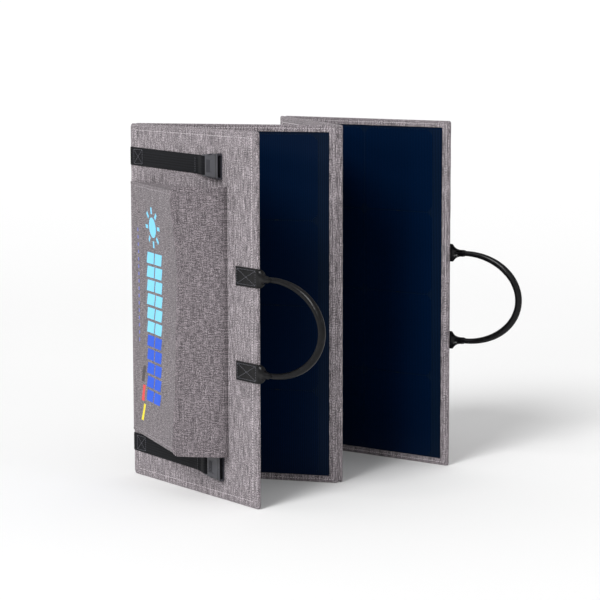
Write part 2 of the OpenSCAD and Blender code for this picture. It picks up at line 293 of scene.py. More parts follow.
def rounded_block(name, low, high, axis, radius, segments):
    """A block whose four edges along one axis are rounded off."""
    piece = block(name, low, high)
    pick(piece, lambda edge: abs(edge.verts[0].co[axis] - edge.verts[1].co[axis]) > 1, "EDGE")
    bpy.ops.mesh.bevel(offset=radius, segments=segments, affect="EDGES")
    object_mode()
    return piece


def soften_node(piece, width):
    """Softens an engineering mesh by modifiers. Its triangles are loose, so they are welded first."""
    piece.modifiers.new("weld", "WELD").merge_threshold = 0.01 * MM
    soften = piece.modifiers.new("soften", "BEVEL")
    soften.width, soften.segments = width * MM, 2
    soften.limit_method, soften.angle_limit = "ANGLE", math.radians(35)


def settle(piece, n):
    """Moves a piece from panel n's own frame, in millimetres, to its place in the scene, in metres."""
    choose(piece)
    piece.data.transform(PANEL[n])
    if n in (2, 4):
        piece.data.flip_normals()


def dress(piece, material, body=None, smooth=40):
    """Gives a placed piece its finish and its slot, smooths it, and rides it on a body."""
    choose(piece)
    piece.data.materials.clear()
    piece.data.materials.append(material)
    bpy.ops.object.shade_smooth_by_angle(angle=math.radians(smooth))
    if body:
        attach(piece, body)
    return piece


# %% Grids laid over a form
def ease(x):
    """Smooth step from 0 to 1."""
    x = min(max(x, 0), 1)
    return x * x * (3 - 2 * x)


def hump(x, middle, width):
    """A bell curve that is 1 at its middle."""
    return math.exp(-((x - middle) / width) ** 2)


def laid_sheet(name, across, along, flat, form):
    """A grid primitive laid over a form: form(a, b) is a point, for a and b from 0 to 1."""
    object_mode()
    bpy.ops.object.select_all(action="DESELECT")
    bpy.ops.mesh.primitive_grid_add(x_subdivisions=across, y_subdivisions=along, size=1)
    piece = bpy.context.object
    piece.name = piece.data.name = name
    for vertex in piece.data.vertices:
        vertex.co = form(vertex.co.x + 0.5, vertex.co.y + 0.5)
    weave = piece.data.uv_layers[0]
    weave.name = "weave"
    for corner in weave.data:
        corner.uv = (corner.uv.x * flat[0] * MM, corner.uv.y * flat[1] * MM)
    return piece


def thicken(piece, thickness, offset=0.0):
    """Gives a sheet its thickness, with a closed rim."""
    apply(piece, "SOLIDIFY", thickness=thickness, offset=offset, use_even_offset=False)


def outward(piece):
    """Turns every face of a closed piece to look outwards."""
    pick(piece, lambda face: True)
    bpy.ops.mesh.normals_make_consistent(inside=False)
    object_mode()


def sewn_sheet(name, across, along, flat, form, thickness):
    """A sheet with its thickness, laid over a form in panel 1's own frame and put in its place."""
    piece = laid_sheet(name, across, along, flat, form)
    thicken(piece, thickness)
    outward(piece)
    settle(piece, 1)
    return piece


def wrapped_tube(name, around, along, flat, form):
    """The same grid rolled into a tube: its long edges are joined and its ends are filled."""
    piece = laid_sheet(name, around, along, flat, form)
    pick(piece, lambda vertex: True, "VERT")
    bpy.ops.mesh.remove_doubles(threshold=0.001)
    bpy.ops.mesh.select_all(action="DESELECT")
    bpy.ops.mesh.select_non_manifold()
    bpy.ops.mesh.fill_holes(sides=0)
    object_mode()
    outward(piece)
    return piece


def box_weave(piece):
    """Lays the weave over a boxy piece along its three main directions, in metres."""
    weave = piece.data.uv_layers[0] if piece.data.uv_layers else piece.data.uv_layers.new()
    weave.name = "weave"
    for face in piece.data.polygons:
        sizes = [abs(part) for part in face.normal]
        skip = sizes.index(max(sizes))
        for corner in face.loop_indices:
            place = piece.data.vertices[piece.data.loops[corner].vertex_index].co
            kept = [place[i] for i in range(3) if i != skip]
            weave.data[corner].uv = (kept[0] * MM, kept[1] * MM)


def copied(piece, name):
    """A copy of a piece with a mesh of its own."""
    twin = bpy.data.objects.new(name, piece.data.copy())
    twin.data.name = name
    bpy.context.scene.collection.objects.link(twin)
    return twin


def many(name, pattern, places):
    """One piece that holds a copy of a pattern at each place."""
    joined = bmesh.new()
    for place in places:
        mesh = pattern.data.copy()
        mesh.transform(place)
        joined.from_mesh(mesh)
        bpy.data.meshes.remove(mesh)
    mesh = bpy.data.meshes.new(name)
    joined.to_mesh(mesh)
    joined.free()
    piece = bpy.data.objects.new(name, mesh)
    bpy.context.scene.collection.objects.link(piece)
    return piece


# %% Floor
SWEEP_DEPTH, SWEEP_NEAR, SWEEP_RISE = 9.0, 36.0, 5.0
SWEEP_SPLIT, SWEEP_FLAT = 0.45, 2.0


def sweep_form(a, b):
    """Flat near the case, then a long curve up behind it, square to the camera's heading."""
    away = (b - SWEEP_SPLIT) * (2 * SWEEP_DEPTH if b > SWEEP_SPLIT else 2 * SWEEP_NEAR)
    side = (a - 0.5) * 4 * SWEEP_DEPTH
    rise = SWEEP_RISE * max(0, (away - SWEEP_FLAT) / SWEEP_DEPTH) ** 2
    facing = Vector((math.cos(HEADING), math.sin(HEADING), 0))
    return facing * away + Vector((-facing.y, facing.x, 0)) * side + Vector((0, 0, rise))


floor = laid_sheet("floor", 8, 60, (1, 1), sweep_form)
bpy.ops.object.shade_smooth()
floor.data.materials.append(new_finish("matt_studio_paper", "#f7f7f7", 0.95, Specular_IOR_Level=0.1)[0])
print("floor:", len(floor.data.polygons), "faces")

# %% [markdown]
# ## Cloth, thread and webbing
# The case is sewn from heather polyester: grey yarn spun from dark and light fibres, so that every
# thread runs from pale to dark along its length. Up the cloth that shows as fine streaks, and across
# it as short slubs. Real threads are about half a millimetre apart. Here they are drawn as coarse as
# one and a half, because finer ones melt into a plain grey from where the camera stands.

# %% Woven finishes
THREAD_DRAWN, STREAK, SLUB = 1.5, 22, 9
GRAIN_SHARE = 0.45
RIB, EDGE_RIB = 2.0, 1.6


def heather_cloth(name, dark, middle, pale, slubs):
    """Woven heather polyester. slubs is how far the crossing threads show, from 0 to 1."""
    material, shader, tree = new_finish(
        name, middle, 0.92, Sheen_Weight=0.12, Sheen_Roughness=0.8, Specular_IOR_Level=0.15)
    weave = add(tree, "UVMap", uv_map="weave").outputs["UV"]
    per_thread = 1 / (THREAD_DRAWN * MM)
    up = add(tree, "Mapping", {"Vector": weave, "Scale": (per_thread, 1 / (STREAK * MM), 1)})
    cross = add(tree, "Mapping", {"Vector": weave, "Scale": (1 / (SLUB * MM), per_thread, 1)})
    streaks = add(tree, "TexNoise", {"Vector": up.outputs[0], "Scale": 1.0, "Detail": 3.0, "Roughness": 0.7})
    rows = add(tree, "TexNoise", {"Vector": cross.outputs[0], "Scale": 1.0, "Detail": 3.0, "Roughness": 0.7})
    grain = add(tree, "TexNoise", {"Vector": weave, "Scale": per_thread, "Detail": 2.0, "Roughness": 0.8})
    threads = add(tree, "Mix", {0: slubs, 2: streaks.outputs[0], 3: rows.outputs[0]})
    speckled = add(tree, "Mix", {0: GRAIN_SHARE, 2: threads.outputs[0], 3: grain.outputs[0]})
    tone = add(tree, "ValToRGB", {"Fac": speckled.outputs[0]}, [(0.39, dark), (0.49, middle), (0.61, pale)])
    blotch = add(tree, "TexNoise", {"Vector": weave, "Scale": 14.0, "Detail": 2.0})
    shade = add(tree, "MapRange", {"Value": blotch.outputs[0], "From Min": 0.3, "From Max": 0.7,
                                   "To Min": 0.93, "To Max": 1.05})
    varied = add(tree, "VectorMath", {0: tone.outputs["Color"], 1: shade.outputs[0]}, operation="MULTIPLY")
    tree.links.new(varied.outputs[0], shader.inputs["Base Color"])
    warp = add(tree, "TexWave", {"Vector": weave, "Scale": per_thread / 2}, bands_direction="X")
    weft = add(tree, "TexWave", {"Vector": weave, "Scale": per_thread / 2}, bands_direction="Y")
    relief = add(tree, "Math", {0: warp.outputs[1], 1: weft.outputs[1]}, operation="MULTIPLY")
    rough = add(tree, "Math", {0: relief.outputs[0], 1: speckled.outputs[0]}, operation="ADD")
    emboss(tree, shader, rough.outputs[0], 0.5, 0.25)
    return material


case_cloth = heather_cloth("heather_polyester_case", "#241e22", "#665f63", "#cfc5ca", 0.3)
# The pouch is the case's own cloth. Its darker ramp is painted shade, for pouch sheets that take less light than
# the case; its stronger slubs are the weave running across.
pouch_cloth_painted_shade = heather_cloth("heather_polyester_pouch", "#211b1f", "#595256", "#aca2a7", 0.6)


def ribbed_webbing():
    """Woven polypropylene: blue-black, with a rib across it at each turn of the weft."""
    material, shader, tree = new_finish("woven_polypropylene", "#0d0e13", 0.65, Specular_IOR_Level=0.18)
    weave = add(tree, "UVMap", uv_map="weave").outputs["UV"]
    ribs = add(tree, "TexWave", {"Vector": weave, "Scale": 1 / (2 * RIB * MM)}, bands_direction="Y")
    ends = add(tree, "TexWave", {"Vector": weave, "Scale": 1 / (2 * EDGE_RIB * MM)}, bands_direction="X")
    relief = add(tree, "Math", {0: ribs.outputs[1], 1: ends.outputs[1]}, operation="MULTIPLY")
    # The colour follows the ribs' relief, so the grooves between ribs carry painted shade.
    tones = [(0.0, "#050609"), (0.6, "#0f1016"), (1.0, "#1a1b23")]
    tint(tree, shader, relief.outputs[0], tones)
    emboss(tree, shader, relief.outputs[0], 0.6, 0.3)
    return material


webbing = ribbed_webbing()


def twisted_thread(name, colour):
    """Spun polyester thread, whose twist breaks the light into fine slanting bands."""
    material, shader, tree = new_finish(name, colour, 0.55, Sheen_Weight=0.2)
    place = add(tree, "TexCoord").outputs["Object"]
    twist = add(tree, "TexNoise", {"Vector": place, "Scale": 1 / (1.2 * MM), "Detail": 1.0})
    emboss(tree, shader, twist.outputs[0], 0.4, 0.1)
    return material


pale_thread = twisted_thread("pale_polyester_thread", "#d6ced2")
grey_thread = twisted_thread("grey_polyester_thread", "#9a9296")
black_thread = twisted_thread("black_polyester_thread", "#4c4c54")
print("woven finishes:", [m.name for m in bpy.data.materials])

# %% [markdown]
# ## Stitches
# A stitch is a short fat bead of thread, modelled once with few faces because there are thousands
# of them. A row of them follows a straight seam, lying half sunk in the groove that the seam pulls
# into the cloth. Four millimetres is a usual pitch for such seams, and the light thread shows on them
# as a dotted line.

# %% Rows of stitches
STITCH_PITCH, STITCH_L, STITCH_R = 4.0, 2.8, 0.5
BACKWARD, FORWARD = (0, -1, 0), (0, 1, 0)
bpy.ops.object.select_all(action="DESELECT")
bpy.ops.mesh.primitive_uv_sphere_add(segments=6, ring_count=4, radius=0.5)
stitch = bpy.context.object
stitch.name = stitch.data.name = "one_stitch"


def stitch_row(start, end, out, pitch=STITCH_PITCH, length=STITCH_L):
    """Places for the stitches of a straight seam; out is the way that the cloth faces."""
    start, end = Vector(start), Vector(end)
    count = max(1, int((end - start).length // pitch))
    run = (end - start).normalized()
    side = run.cross(Vector(out)).normalized()
    turn_to = Matrix((side, side.cross(run).normalized(), run)).transposed().to_4x4()
    size = Matrix.Diagonal((2 * STITCH_R, 2 * STITCH_R, length, 1))
    return [
        Matrix.Translation(start.lerp(end, (i + 0.5) / count)) @ turn_to @ size
        for i in range(count)
    ]


def stitch_frame(u0, u1, z0, z1, v, out, pitch=STITCH_PITCH, length=STITCH_L):
    """A rectangle of stitches on a panel's face."""
    corners = [(u0, v, z0), (u1, v, z0), (u1, v, z1), (u0, v, z1)]
    rows = []
    for i in range(4):
        rows += stitch_row(corners[i], corners[(i + 1) % 4], out, pitch, length)
    return rows


print("faces in one stitch:", len(stitch.data.polygons))

# %% [markdown]
# ## The panel cases
# On the real thing, cloth is glued over a stiff board, turned in round the edge and sewn, and a cloth
# border covers the edge of the cell sheet. It is a thin tray, so it starts as a block with round
# corners and a soft rim. It is sliced finely where the seams run, an opening and a bed are cut for
# the cell sheet, and then each point is moved: down at the seams, up between seam and edge, and a
# little everywhere, because glued cloth is never quite flat. One tray is copied for all four panels.

# %% A tray of cloth
board_low, sheet_high = node_box("panel_1_board")[0], node_box("panel_1_laminate")[1]
SEAT = board_low.x - FOLD_GAP
BORDER_SIDE, BORDER_END, CORNER_R, RIM_R = 13.0, 10.0, 4.0, 1.6
HEM_SIDE, HEM_END = 13.0, 9.5
STRIP_SEAM_SIDE, STRIP_SEAM_END = 6.0, 5.0


def from_edges(low, high, near, step):
    """Places to slice at: each distance in near from both edges, and evenly between them."""
    inner = 20.0
    count = round((high - low - 2 * inner) / step)
    middle = [low + inner + (high - low - 2 * inner) * i / count for i in range(count + 1)]
    return [low + d for d in near] + middle + [high - d for d in near]


def is_rim(edge):
    """Edges round the outside of the front face or the back face."""
    a, b = (vertex.co.y for vertex in edge.verts)
    return abs(a - b) < 0.01


case = block("case_tray", (FOLD_GAP, BACK, 0), (PANEL_W, FRONT, PANEL_H))
pick(case, lambda edge: not is_rim(edge), "EDGE")
bpy.ops.mesh.bevel(offset=CORNER_R, segments=4, affect="EDGES")
pick(case, is_rim, "EDGE")
bpy.ops.mesh.bevel(offset=RIM_R, segments=3, affect="EDGES")
slice_at(case, 0, from_edges(FOLD_GAP, PANEL_W, (4.7, 6.0, 7.3, 11.0, 12.1, 12.95, 13.9, 15.2), 11))
slice_at(case, 2, from_edges(0, PANEL_H, (3.8, 5.0, 6.2, 7.6, 8.6, 9.45, 10.3, 11.6), 11))
combine(case, block("opening", (FOLD_GAP + BORDER_SIDE + 0.03, sheet_high.y, BORDER_END + 0.03),
                    (PANEL_W - BORDER_SIDE - 0.03, FRONT + 3, PANEL_H - BORDER_END - 0.03)))
combine(case, block("bed", (FOLD_GAP + SEAT, board_low.y, SEAT),
                    (PANEL_W - SEAT, sheet_high.y + 0.01, PANEL_H - SEAT)))
print("tray faces:", len(case.data.polygons))


# %% Seams and ripples
def seam_dip(u, z, side, end, width):
    """How far the cloth is pulled in by a seam that runs round at those distances from the edges."""
    inside = min(min(u - FOLD_GAP, PANEL_W - u) - side, min(z, PANEL_H - z) - end)
    pucker = noise.noise(Vector((u / 6, z / 6, side))) * hump(inside, 0, 6)
    return hump(inside, 0, width) * (0.42 + 0.25 * pucker) + 0.16 * pucker, inside


def cloth_point(point):
    """Where a point of the flat tray goes: seams pull it in, and glued cloth ripples."""
    u, v, z = point
    moved = point.copy()
    ripple = noise.noise(Vector((u / 38, z / 38, 7.0))) * 0.22
    ripple += noise.noise(Vector((u / 13, z / 13, 3.0))) * 0.07
    if v < BACK + 0.05:
        dip, inside = seam_dip(u, z, HEM_SIDE, HEM_END, 1.1)
        crown = 0.25 * hump(inside, -6, 4)
        moved.y += dip - crown - ripple
    elif v > FRONT - 0.05:
        dip, inside = seam_dip(u, z, STRIP_SEAM_SIDE, STRIP_SEAM_END, 0.9)
        moved.y -= dip * 0.8
    near_edge = hump(min(u - FOLD_GAP, PANEL_W - u, z, PANEL_H - z), 0, 9)
    moved.x += noise.noise(Vector((z / 30, 1.7, u // 200))) * 0.35 * near_edge
    moved.z += noise.noise(Vector((u / 30, 9.1, z // 300))) * 0.35 * near_edge
    return moved


for vertex in case.data.vertices:
    if abs(vertex.co.y) > 1.2:
        vertex.co = cloth_point(vertex.co)
box_weave(case)

# %% Four cases and their stitching
CASES = {}
for n in (1, 2, 3, 4):
    piece = copied(case, f"panel_{n}_fabric")
    if n in (2, 3):
        for vertex in piece.data.vertices:
            vertex.co.x -= FOLD_GAP * ease((vertex.co.x - PANEL_W / 2) / 60)
    settle(piece, n)
    dress(piece, case_cloth, f"panel_{n}")
    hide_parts(f"panel_{n}_cover", f"panel_{n}_border")
    CASES[n] = piece
    far = PANEL_W - (FOLD_GAP if n in (2, 3) else 0)
    places = stitch_frame(
        FOLD_GAP + HEM_SIDE, far - HEM_SIDE, HEM_END, PANEL_H - HEM_END, BACK + 0.15, BACKWARD)
    places += stitch_frame(FOLD_GAP + STRIP_SEAM_SIDE, far - STRIP_SEAM_SIDE, STRIP_SEAM_END,
                           PANEL_H - STRIP_SEAM_END, FRONT - 0.15, FORWARD)
    stitching = many(f"panel_{n}_stitching", stitch, places)
    settle(stitching, n)
    dress(stitching, pale_thread, f"panel_{n}", 60)
bpy.data.meshes.remove(case.data)
print("cases:", {n: len(piece.data.polygons) for n, piece in CASES.items()})

# %% [markdown]
# ## Folds
# A strip of the same cloth joins each pair of panels round the outside of its fold, and a flat lead
# crosses with it in the middle. Both are short arcs about the fold's line, laid where the case stands
# open.

# %% Strips round the folds
STRIP_CLEAR = math.radians(62)
WEB_R = math.hypot(FOLD_GAP, HINGE_V)
strip_start = {"a": turn[2] + STRIP_CLEAR, "b": turn[2] - math.pi + STRIP_CLEAR, "c": turn[4] + STRIP_CLEAR}


def round_fold(name, letter, radius, thickness, low, high, around, up):
    """A strip about a fold's line, thick enough to sew, laid where the case stands open."""
    sweep = 2 * math.pi - 2 * STRIP_CLEAR - opened[letter]
    begin = strip_start[letter]

    def form(a, b):
        angle = begin + sweep * a
        z = low + (high - low) * b
        swell = 0.18 * noise.noise(Vector((a * 3, z / 14, ord(letter)))) * math.sin(math.pi * a)
        out = (radius + swell) * MM
        return fold_at[letter] + Vector((math.cos(angle) * out, math.sin(angle) * out, z * MM))

    piece = laid_sheet(name, around, up, (radius * sweep, high - low), form)
    thicken(piece, thickness * MM)
    outward(piece)
    ends = [fold_at[letter] + Vector((math.cos(t), math.sin(t), 0)) * radius * MM
            for t in (begin, begin + sweep)]
    return piece, ends, (radius * sweep * MM, (high - low) * MM)


def rubber_sheath():
    """Soft PVC over a flat lead: black, slightly waxy, with a faint matt mottle."""
    material, shader, tree = new_finish("pvc_lead_sheath", "#151517", 0.45)
    place = add(tree, "TexCoord").outputs["Object"]
    mottle = add(tree, "TexNoise", {"Vector": place, "Scale": 1 / (1.5 * MM), "Detail": 3.0})
    dull = add(tree, "MapRange", {"Value": mottle.outputs[0], "To Min": 0.35, "To Max": 0.6})
    tree.links.new(dull.outputs[0], shader.inputs["Roughness"])
    emboss(tree, shader, mottle.outputs[0], 0.2, 0.1)
    return material


sheath = rubber_sheath()
lead_low, lead_high = node_box("fold_a_lead")
for letter in "abc":
    web, ends, flat = round_fold(f"fold_{letter}_cloth", letter, WEB_R, 0.8, 4, PANEL_H - 4, 20, 110)
    dress(web, case_cloth)
    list(ends)
    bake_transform(web)
    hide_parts(f"fold_{letter}_web")
    lead, ends, flat = round_fold(
        f"fold_{letter}_flat_lead", letter, 1.9, 0.5, lead_low.z, lead_high.z, 20, 6)
    dress(lead, sheath)
    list(ends)
    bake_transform(lead)
    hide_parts(f"fold_{letter}_lead")

# %% [markdown]
# ## Straps
# The webbing is a flat woven band with thick rounded selvedges. It is laid out as a tube along a path
# in the panel's plan, with a flat oval for its section, and pinched slightly at each rib of the weave.
# On panel 1 it goes under the socket's bar, up through the slot and back over, and is sewn down. The
# loose tails of panel 4 loop round the plug's outer bar in the same way.

# %% Webbing along a path
STRAP_W, STRAP_T, STRAP_RISE = 27.0, 1.6, 4.0
strap_low, strap_high = node_box("strap_1_top")
SEWN_END = node_box("socket_top")[0].x
STRAP_Z = {
    "top": (strap_low.z + strap_high.z) / 2,
    "bottom": sum(corner.z for corner in node_box("strap_1_bottom")) / 2,
}
STRAP_V = BACK - STRAP_T / 2


def smooth_path(points, step):
    """Even steps along a curve through given points in a panel's plan."""
    fine = []
    before = 2 * Vector(points[0]) - Vector(points[1])
    after = 2 * Vector(points[-1]) - Vector(points[-2])
    ends = [before, *map(Vector, points), after]
    for a, b, c, d in zip(ends, ends[1:], ends[2:], ends[3:]):
        count = max(2, round((c - b).length / step))
        for i in range(count):
            t = i / count
            square, cube = 2 * a - 5 * b + 4 * c - d, 3 * b - a - 3 * c + d
            fine.append(0.5 * (2 * b + (c - a) * t + square * t ** 2 + cube * t ** 3))
    return fine + [ends[-2]]


def strap(name, points, z, n):
    """A band of webbing along a path, its width upright."""
    path = smooth_path(points, RIB / 2)
    rings = len(path) - 1
    length = sum((q - p).length for p, q in zip(path, path[1:]))

    def form(a, b):
        i = round(b * rings)
        ahead, behind = path[min(i + 1, rings)], path[max(i - 1, 0)]
        along = (ahead - behind).normalized()
        out = Vector((along.y, -along.x))
        angle = 2 * math.pi * a
        wide = math.copysign(abs(math.cos(angle)) ** 0.35, math.cos(angle)) * STRAP_W / 2
        thick = math.copysign(abs(math.sin(angle)) ** 0.7, math.sin(angle)) * STRAP_T / 2
        selvedge = 1 + 0.12 * hump(abs(wide), STRAP_W / 2 - 1.6, 1.0)
        rib = 0.9 if i % 2 else 1.0
        place = path[i] + out * thick * selvedge * rib
        sway = STRAP_RISE * max(0, 1 - place.x / SEWN_END) + 0.25 * noise.noise(Vector((i / 60, z, 5)))
        return Vector((place.x, place.y, z + wide + sway))

    piece = wrapped_tube(name, 24, rings, (2 * STRAP_W, length), form)
    settle(piece, n)
    return piece


tail_hinge = PANEL[4].inverted() @ Vector(joints["tail_top_swing"]["pos_m"])
for name, z in STRAP_Z.items():
    route = [(FOLD_GAP + 1.4, STRAP_V), (100, STRAP_V - 0.1), (SEWN_END - 1, STRAP_V),
             (SEWN_END + 5, STRAP_V - 0.5),
             (SEWN_END + 7.2, BACK - 4.2), (SEWN_END + 5, BACK - 7.2), (SEWN_END + 1, BACK - 7.4),
             (SEWN_END - 6, BACK - 5.0), (SEWN_END - 12, BACK - 2.6), (SEWN_END - 20, BACK - 2.4)]
    piece = strap(f"strap_1_{name}_webbing", route, z, 1)
    dress(piece, webbing, "panel_1", 60)
    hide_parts(f"strap_1_{name}")
    route = [(FOLD_GAP + 1.4, STRAP_V), (100, STRAP_V), (SEWN_END, STRAP_V)]
    piece = strap(f"strap_4_{name}_webbing", route, z, 4)
    dress(piece, webbing, "panel_4", 60)
    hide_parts(f"strap_4_{name}")
print("strap middles, mm:", STRAP_Z)

# %% Loose tails
TAIL_L = 130.0
for name, z in STRAP_Z.items():
    end_u, mid_v = tail_hinge.x, tail_hinge.y
    bar_u = end_u - TAIL_L - 4
    route = [(end_u + 5, mid_v + 1.1), (end_u + 1, mid_v + 1.0), (end_u - 6, mid_v + 0.8),
             (end_u - 60, mid_v + 0.7), (bar_u + 8, mid_v + 0.8), (bar_u + 1, mid_v + 1.2),
             (bar_u - 2.6, mid_v + 0.6), (bar_u - 3.5, mid_v - 1.6), (bar_u - 2.4, mid_v - 4.6),
             (bar_u + 2, mid_v - 4.9), (bar_u + 9, mid_v - 2.6), (bar_u + 18, mid_v - 1.0),
             (end_u - 60, mid_v - 0.9), (end_u - 8, mid_v - 0.8), (end_u + 4, mid_v - 0.5)]
    piece = strap(f"tail_{name}_webbing", route, z, 4)
    dress(piece, webbing, None, 60)
    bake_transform(piece)
    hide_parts(f"tail_{name}")
print("tail hinge, mm:", [round(x, 1) for x in tail_hinge])


# %% Strap stitching
def cross_box(u0, u1, z0, z1, v, out, pitch, length):
    """A sewn box with a cross in it, which is how webbing and leather are fastened."""
    rows = stitch_frame(u0, u1, z0, z1, v, out, pitch, length)
    rows += stitch_row((u0, v, z0), (u1, v, z1), out, pitch, length)
    return rows + stitch_row((u0, v, z1), (u1, v, z0), out, pitch, length)


for n, sewn_at, lift in ((1, SEWN_END - 19, 4.15), (4, SEWN_END - 22, 1.65)):
    places = []
    for z in STRAP_Z.values():
        half = STRAP_W / 2 - 3
        end_z = z + STRAP_RISE * 0.9
        places += cross_box(12, 34, end_z - half, end_z + half, BACK - STRAP_T - 0.05, BACKWARD, 3, 2.2)
        row = [(sewn_at, BACK - lift, z + side * half) for side in (-1, 1)]
        places += stitch_row(*row, BACKWARD, 3, 2.2)
    piece = many(f"panel_{n}_strap_stitching", stitch, places)
    settle(piece, n)
    dress(piece, black_thread, f"panel_{n}", 60)
print("sewn straps on panels 1 and 4")

# %% [markdown]
# ## Buckles
# A side-release buckle is moulded acetal, hard and slightly shiny, with rounded shoulders. The socket
# is a hollow box with a bar for the strap at one end, a flared mouth at the other, and a window in
# each side where the prongs click out. It is modelled as it would be cut from solid: a block, shaped,
# with the hollow, the windows and the slot taken out, and every edge then softened a little.

# %% Moulded acetal
BAR_L, BAR_W, SLOT_L, SHELL_IN = 12.0, 31.0, 4.5, 0.6


def moulded_plastic(name, colour, roughness, grain_size):
    """Moulded plastic with a fine spark-eroded grain, a little duller where it has been handled."""
    material, shader, tree = new_finish(name, colour, roughness, IOR=1.48)
    place = add(tree, "TexCoord").outputs["Object"]
    grain = add(tree, "TexNoise", {"Vector": place, "Scale": 1 / (grain_size * MM), "Detail": 4.0})
    wear = add(tree, "TexNoise", {"Vector": place, "Scale": 60.0, "Detail": 3.0})
    dull = add(tree, "MapRange", {"Value": wear.outputs[0], "From Min": 0.3, "From Max": 0.7,
                                  "To Min": roughness - 0.06, "To Max": roughness + 0.1})
    # Sharp convex edges, found by their pointiness, are lightened towards grey.
    edges = add(tree, "NewGeometry").outputs["Pointiness"]
    sharp_edge_lightening = add(tree, "MapRange", {"Value": edges, "From Min": 0.52, "From Max": 0.62})
    tone = add(tree, "Mix", {0: sharp_edge_lightening.outputs[0], 6: linear(colour), 7: linear("#3a3a40")}, data_type="RGBA")
    tree.links.new(tone.outputs[2], shader.inputs["Base Color"])
    tree.links.new(dull.outputs[0], shader.inputs["Roughness"])
    emboss(tree, shader, grain.outputs[0], 0.15, 0.08)
    return material


acetal = moulded_plastic("moulded_acetal", "#0e0e12", 0.3, 0.6)


def socket(name):
    """A buckle's socket on panel 1: the outer block, the strap's bar, then everything cut away."""
    low, high = node_box(f"socket_{name}")
    z = (low.z + high.z) / 2
    half, body_u = (high.z - low.z) / 2, low.x + BAR_L
    top = low.y + SHELL_IN
    body = rounded_block(f"socket_{name}_shell", (body_u, top, low.z + SHELL_IN),
                         (high.x, BACK - 0.05, high.z - SHELL_IN), 0, 2.6, 4)
    slice_at(body, 0, (body_u + 4, body_u + 9, high.x - 9, high.x - 5, high.x - 1.5))
    for vertex in body.data.vertices:
        shoulder = 1 - 0.13 * (1 - ease((vertex.co.x - body_u) / 7))
        waist = 1 - 0.05 * hump(vertex.co.x, body_u + 13, 7)
        flare = 1 + 0.045 * ease((vertex.co.x - high.x + 8) / 6)
        vertex.co.z = z + (vertex.co.z - z) * shoulder * waist * min(flare, (half + 0.5) / (half - SHELL_IN))
    bar = block("bar", (low.x + 0.2, BACK - 6.1, z - BAR_W / 2), (body_u + 2, BACK - 1.9, z + BAR_W / 2))
    pick(bar, lambda edge: edge.verts[0].co.x < low.x + 1 and edge.verts[1].co.x < low.x + 1, "EDGE")
    bpy.ops.mesh.bevel(offset=1.3, segments=3, affect="EDGES")
    combine(body, bar, "UNION")
    combine(body, rounded_block("hollow", (body_u + 2, BACK - 7.9, z - 15.6),
                                (high.x + 3, BACK - 1.2, z + 15.6), 0, 1.2, 2))
    combine(body, rounded_block("window", (body_u + 6.5, BACK - 7, z - half - 3),
                                (body_u + 17, BACK - 2.4, z + half + 3), 2, 1.4, 3))
    combine(body, block("slot", (low.x + 5.2, BACK - 12, z - 13.5),
                        (low.x + 5.2 + SLOT_L, BACK + 2, z + 13.5)))
    combine(body, rounded_block("bite", (body_u + 10, top - 2, z - 9.5),
                                (high.x - 7.5, top + 0.55, z + 9.5), 1, 3.2, 5))
    for edge_z in (z - half, z + half):
        combine(body, block("finger_room", (body_u + 8.5, top - 2, edge_z - 2.6),
                            (body_u + 16, BACK + 1, edge_z + 2.6)))
    for i in range(3):
        ridge_u = body_u + 3.4 + i * 2.0
        ridge = block("ridge", (ridge_u, top - 0.45, z - 9), (ridge_u + 0.9, top + 0.6, z + 9))
        combine(body, ridge, "UNION")
    rubbed_edges(body, 0.32, 35)
    settle(body, 1)
    dress(body, acetal, "panel_1", 35)
    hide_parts(f"socket_{name}")
    return body


sockets = [socket(name) for name in STRAP_Z]
print("socket faces:", [len(piece.data.polygons) for piece in sockets])

# %% [markdown]
# The plugs and their prongs keep the engineering meshes, whose shapes are right, and only get
# softer edges and the same plastic.

# %% Plugs and prongs
for node_name, piece in frame["nodes"].items():
    if node_name.startswith(("plug_", "prong_")):
        soften_node(piece, 0.35)
        for place in piece.material_slots:
            place.material = acetal
print("plugs and prongs softened")

# %% [markdown]
# ## The pouch
# The pouch is a wedge of the same cloth, cut with the weave across it. Its front sheet rises from the
# fold to a mouth, two three-cornered gussets close its ends, and a flap sewn beyond it turns back over
# the mouth. Nothing stiffens it, so each sheet sags between its seams, dips where the mouth hangs
# loose in the middle, and creases from its corners. Each is a grid laid over a form that says so.

# %% The pouch's form
gusset_low, gusset_high = node_box("gusset_top")
front_low, front_high = node_box("pouch_front")
flap_low, flap_high = node_box("pouch_flap")
POUCH_U0, POUCH_U1, POUCH_D = front_low.x, front_high.x, BACK - front_low.y
POUCH_Z0, POUCH_Z1 = front_low.z, front_high.z
FLAP_Z0, FLAP_Z1 = flap_low.z, flap_high.z
FLAP_U = (Vector(joints["flap_lift"]["pos_m"]) - fold_at["a"]).x / MM
FLAP_V = joints["flap_lift"]["pos_m"][1] / MM
CLOTH_T = 1.1


def crease(u, z, start, end, width, depth):
    """A soft valley along a line on the cloth, fading out at both ends."""
    start, end, here = Vector(start), Vector(end), Vector((u, z))
    line = end - start
    along = (here - start).dot(line) / line.length_squared
    across = abs((here - start).cross(line)) / line.length
    fade = ease(along * 5 + 0.6) * ease((1 - along) * 3)
    return depth * fade * hump(across, 0, width)


def mouth_depth(z):
    """How far the mouth stands out from the panel: most at the gussets, least above the middle."""
    up = (z - POUCH_Z0) / (POUCH_Z1 - POUCH_Z0)
    return POUCH_D - 11.0 * ease(min(up, 1 - up) * 3.2) * (0.62 + 0.38 * ease((up - 0.25) * 2))


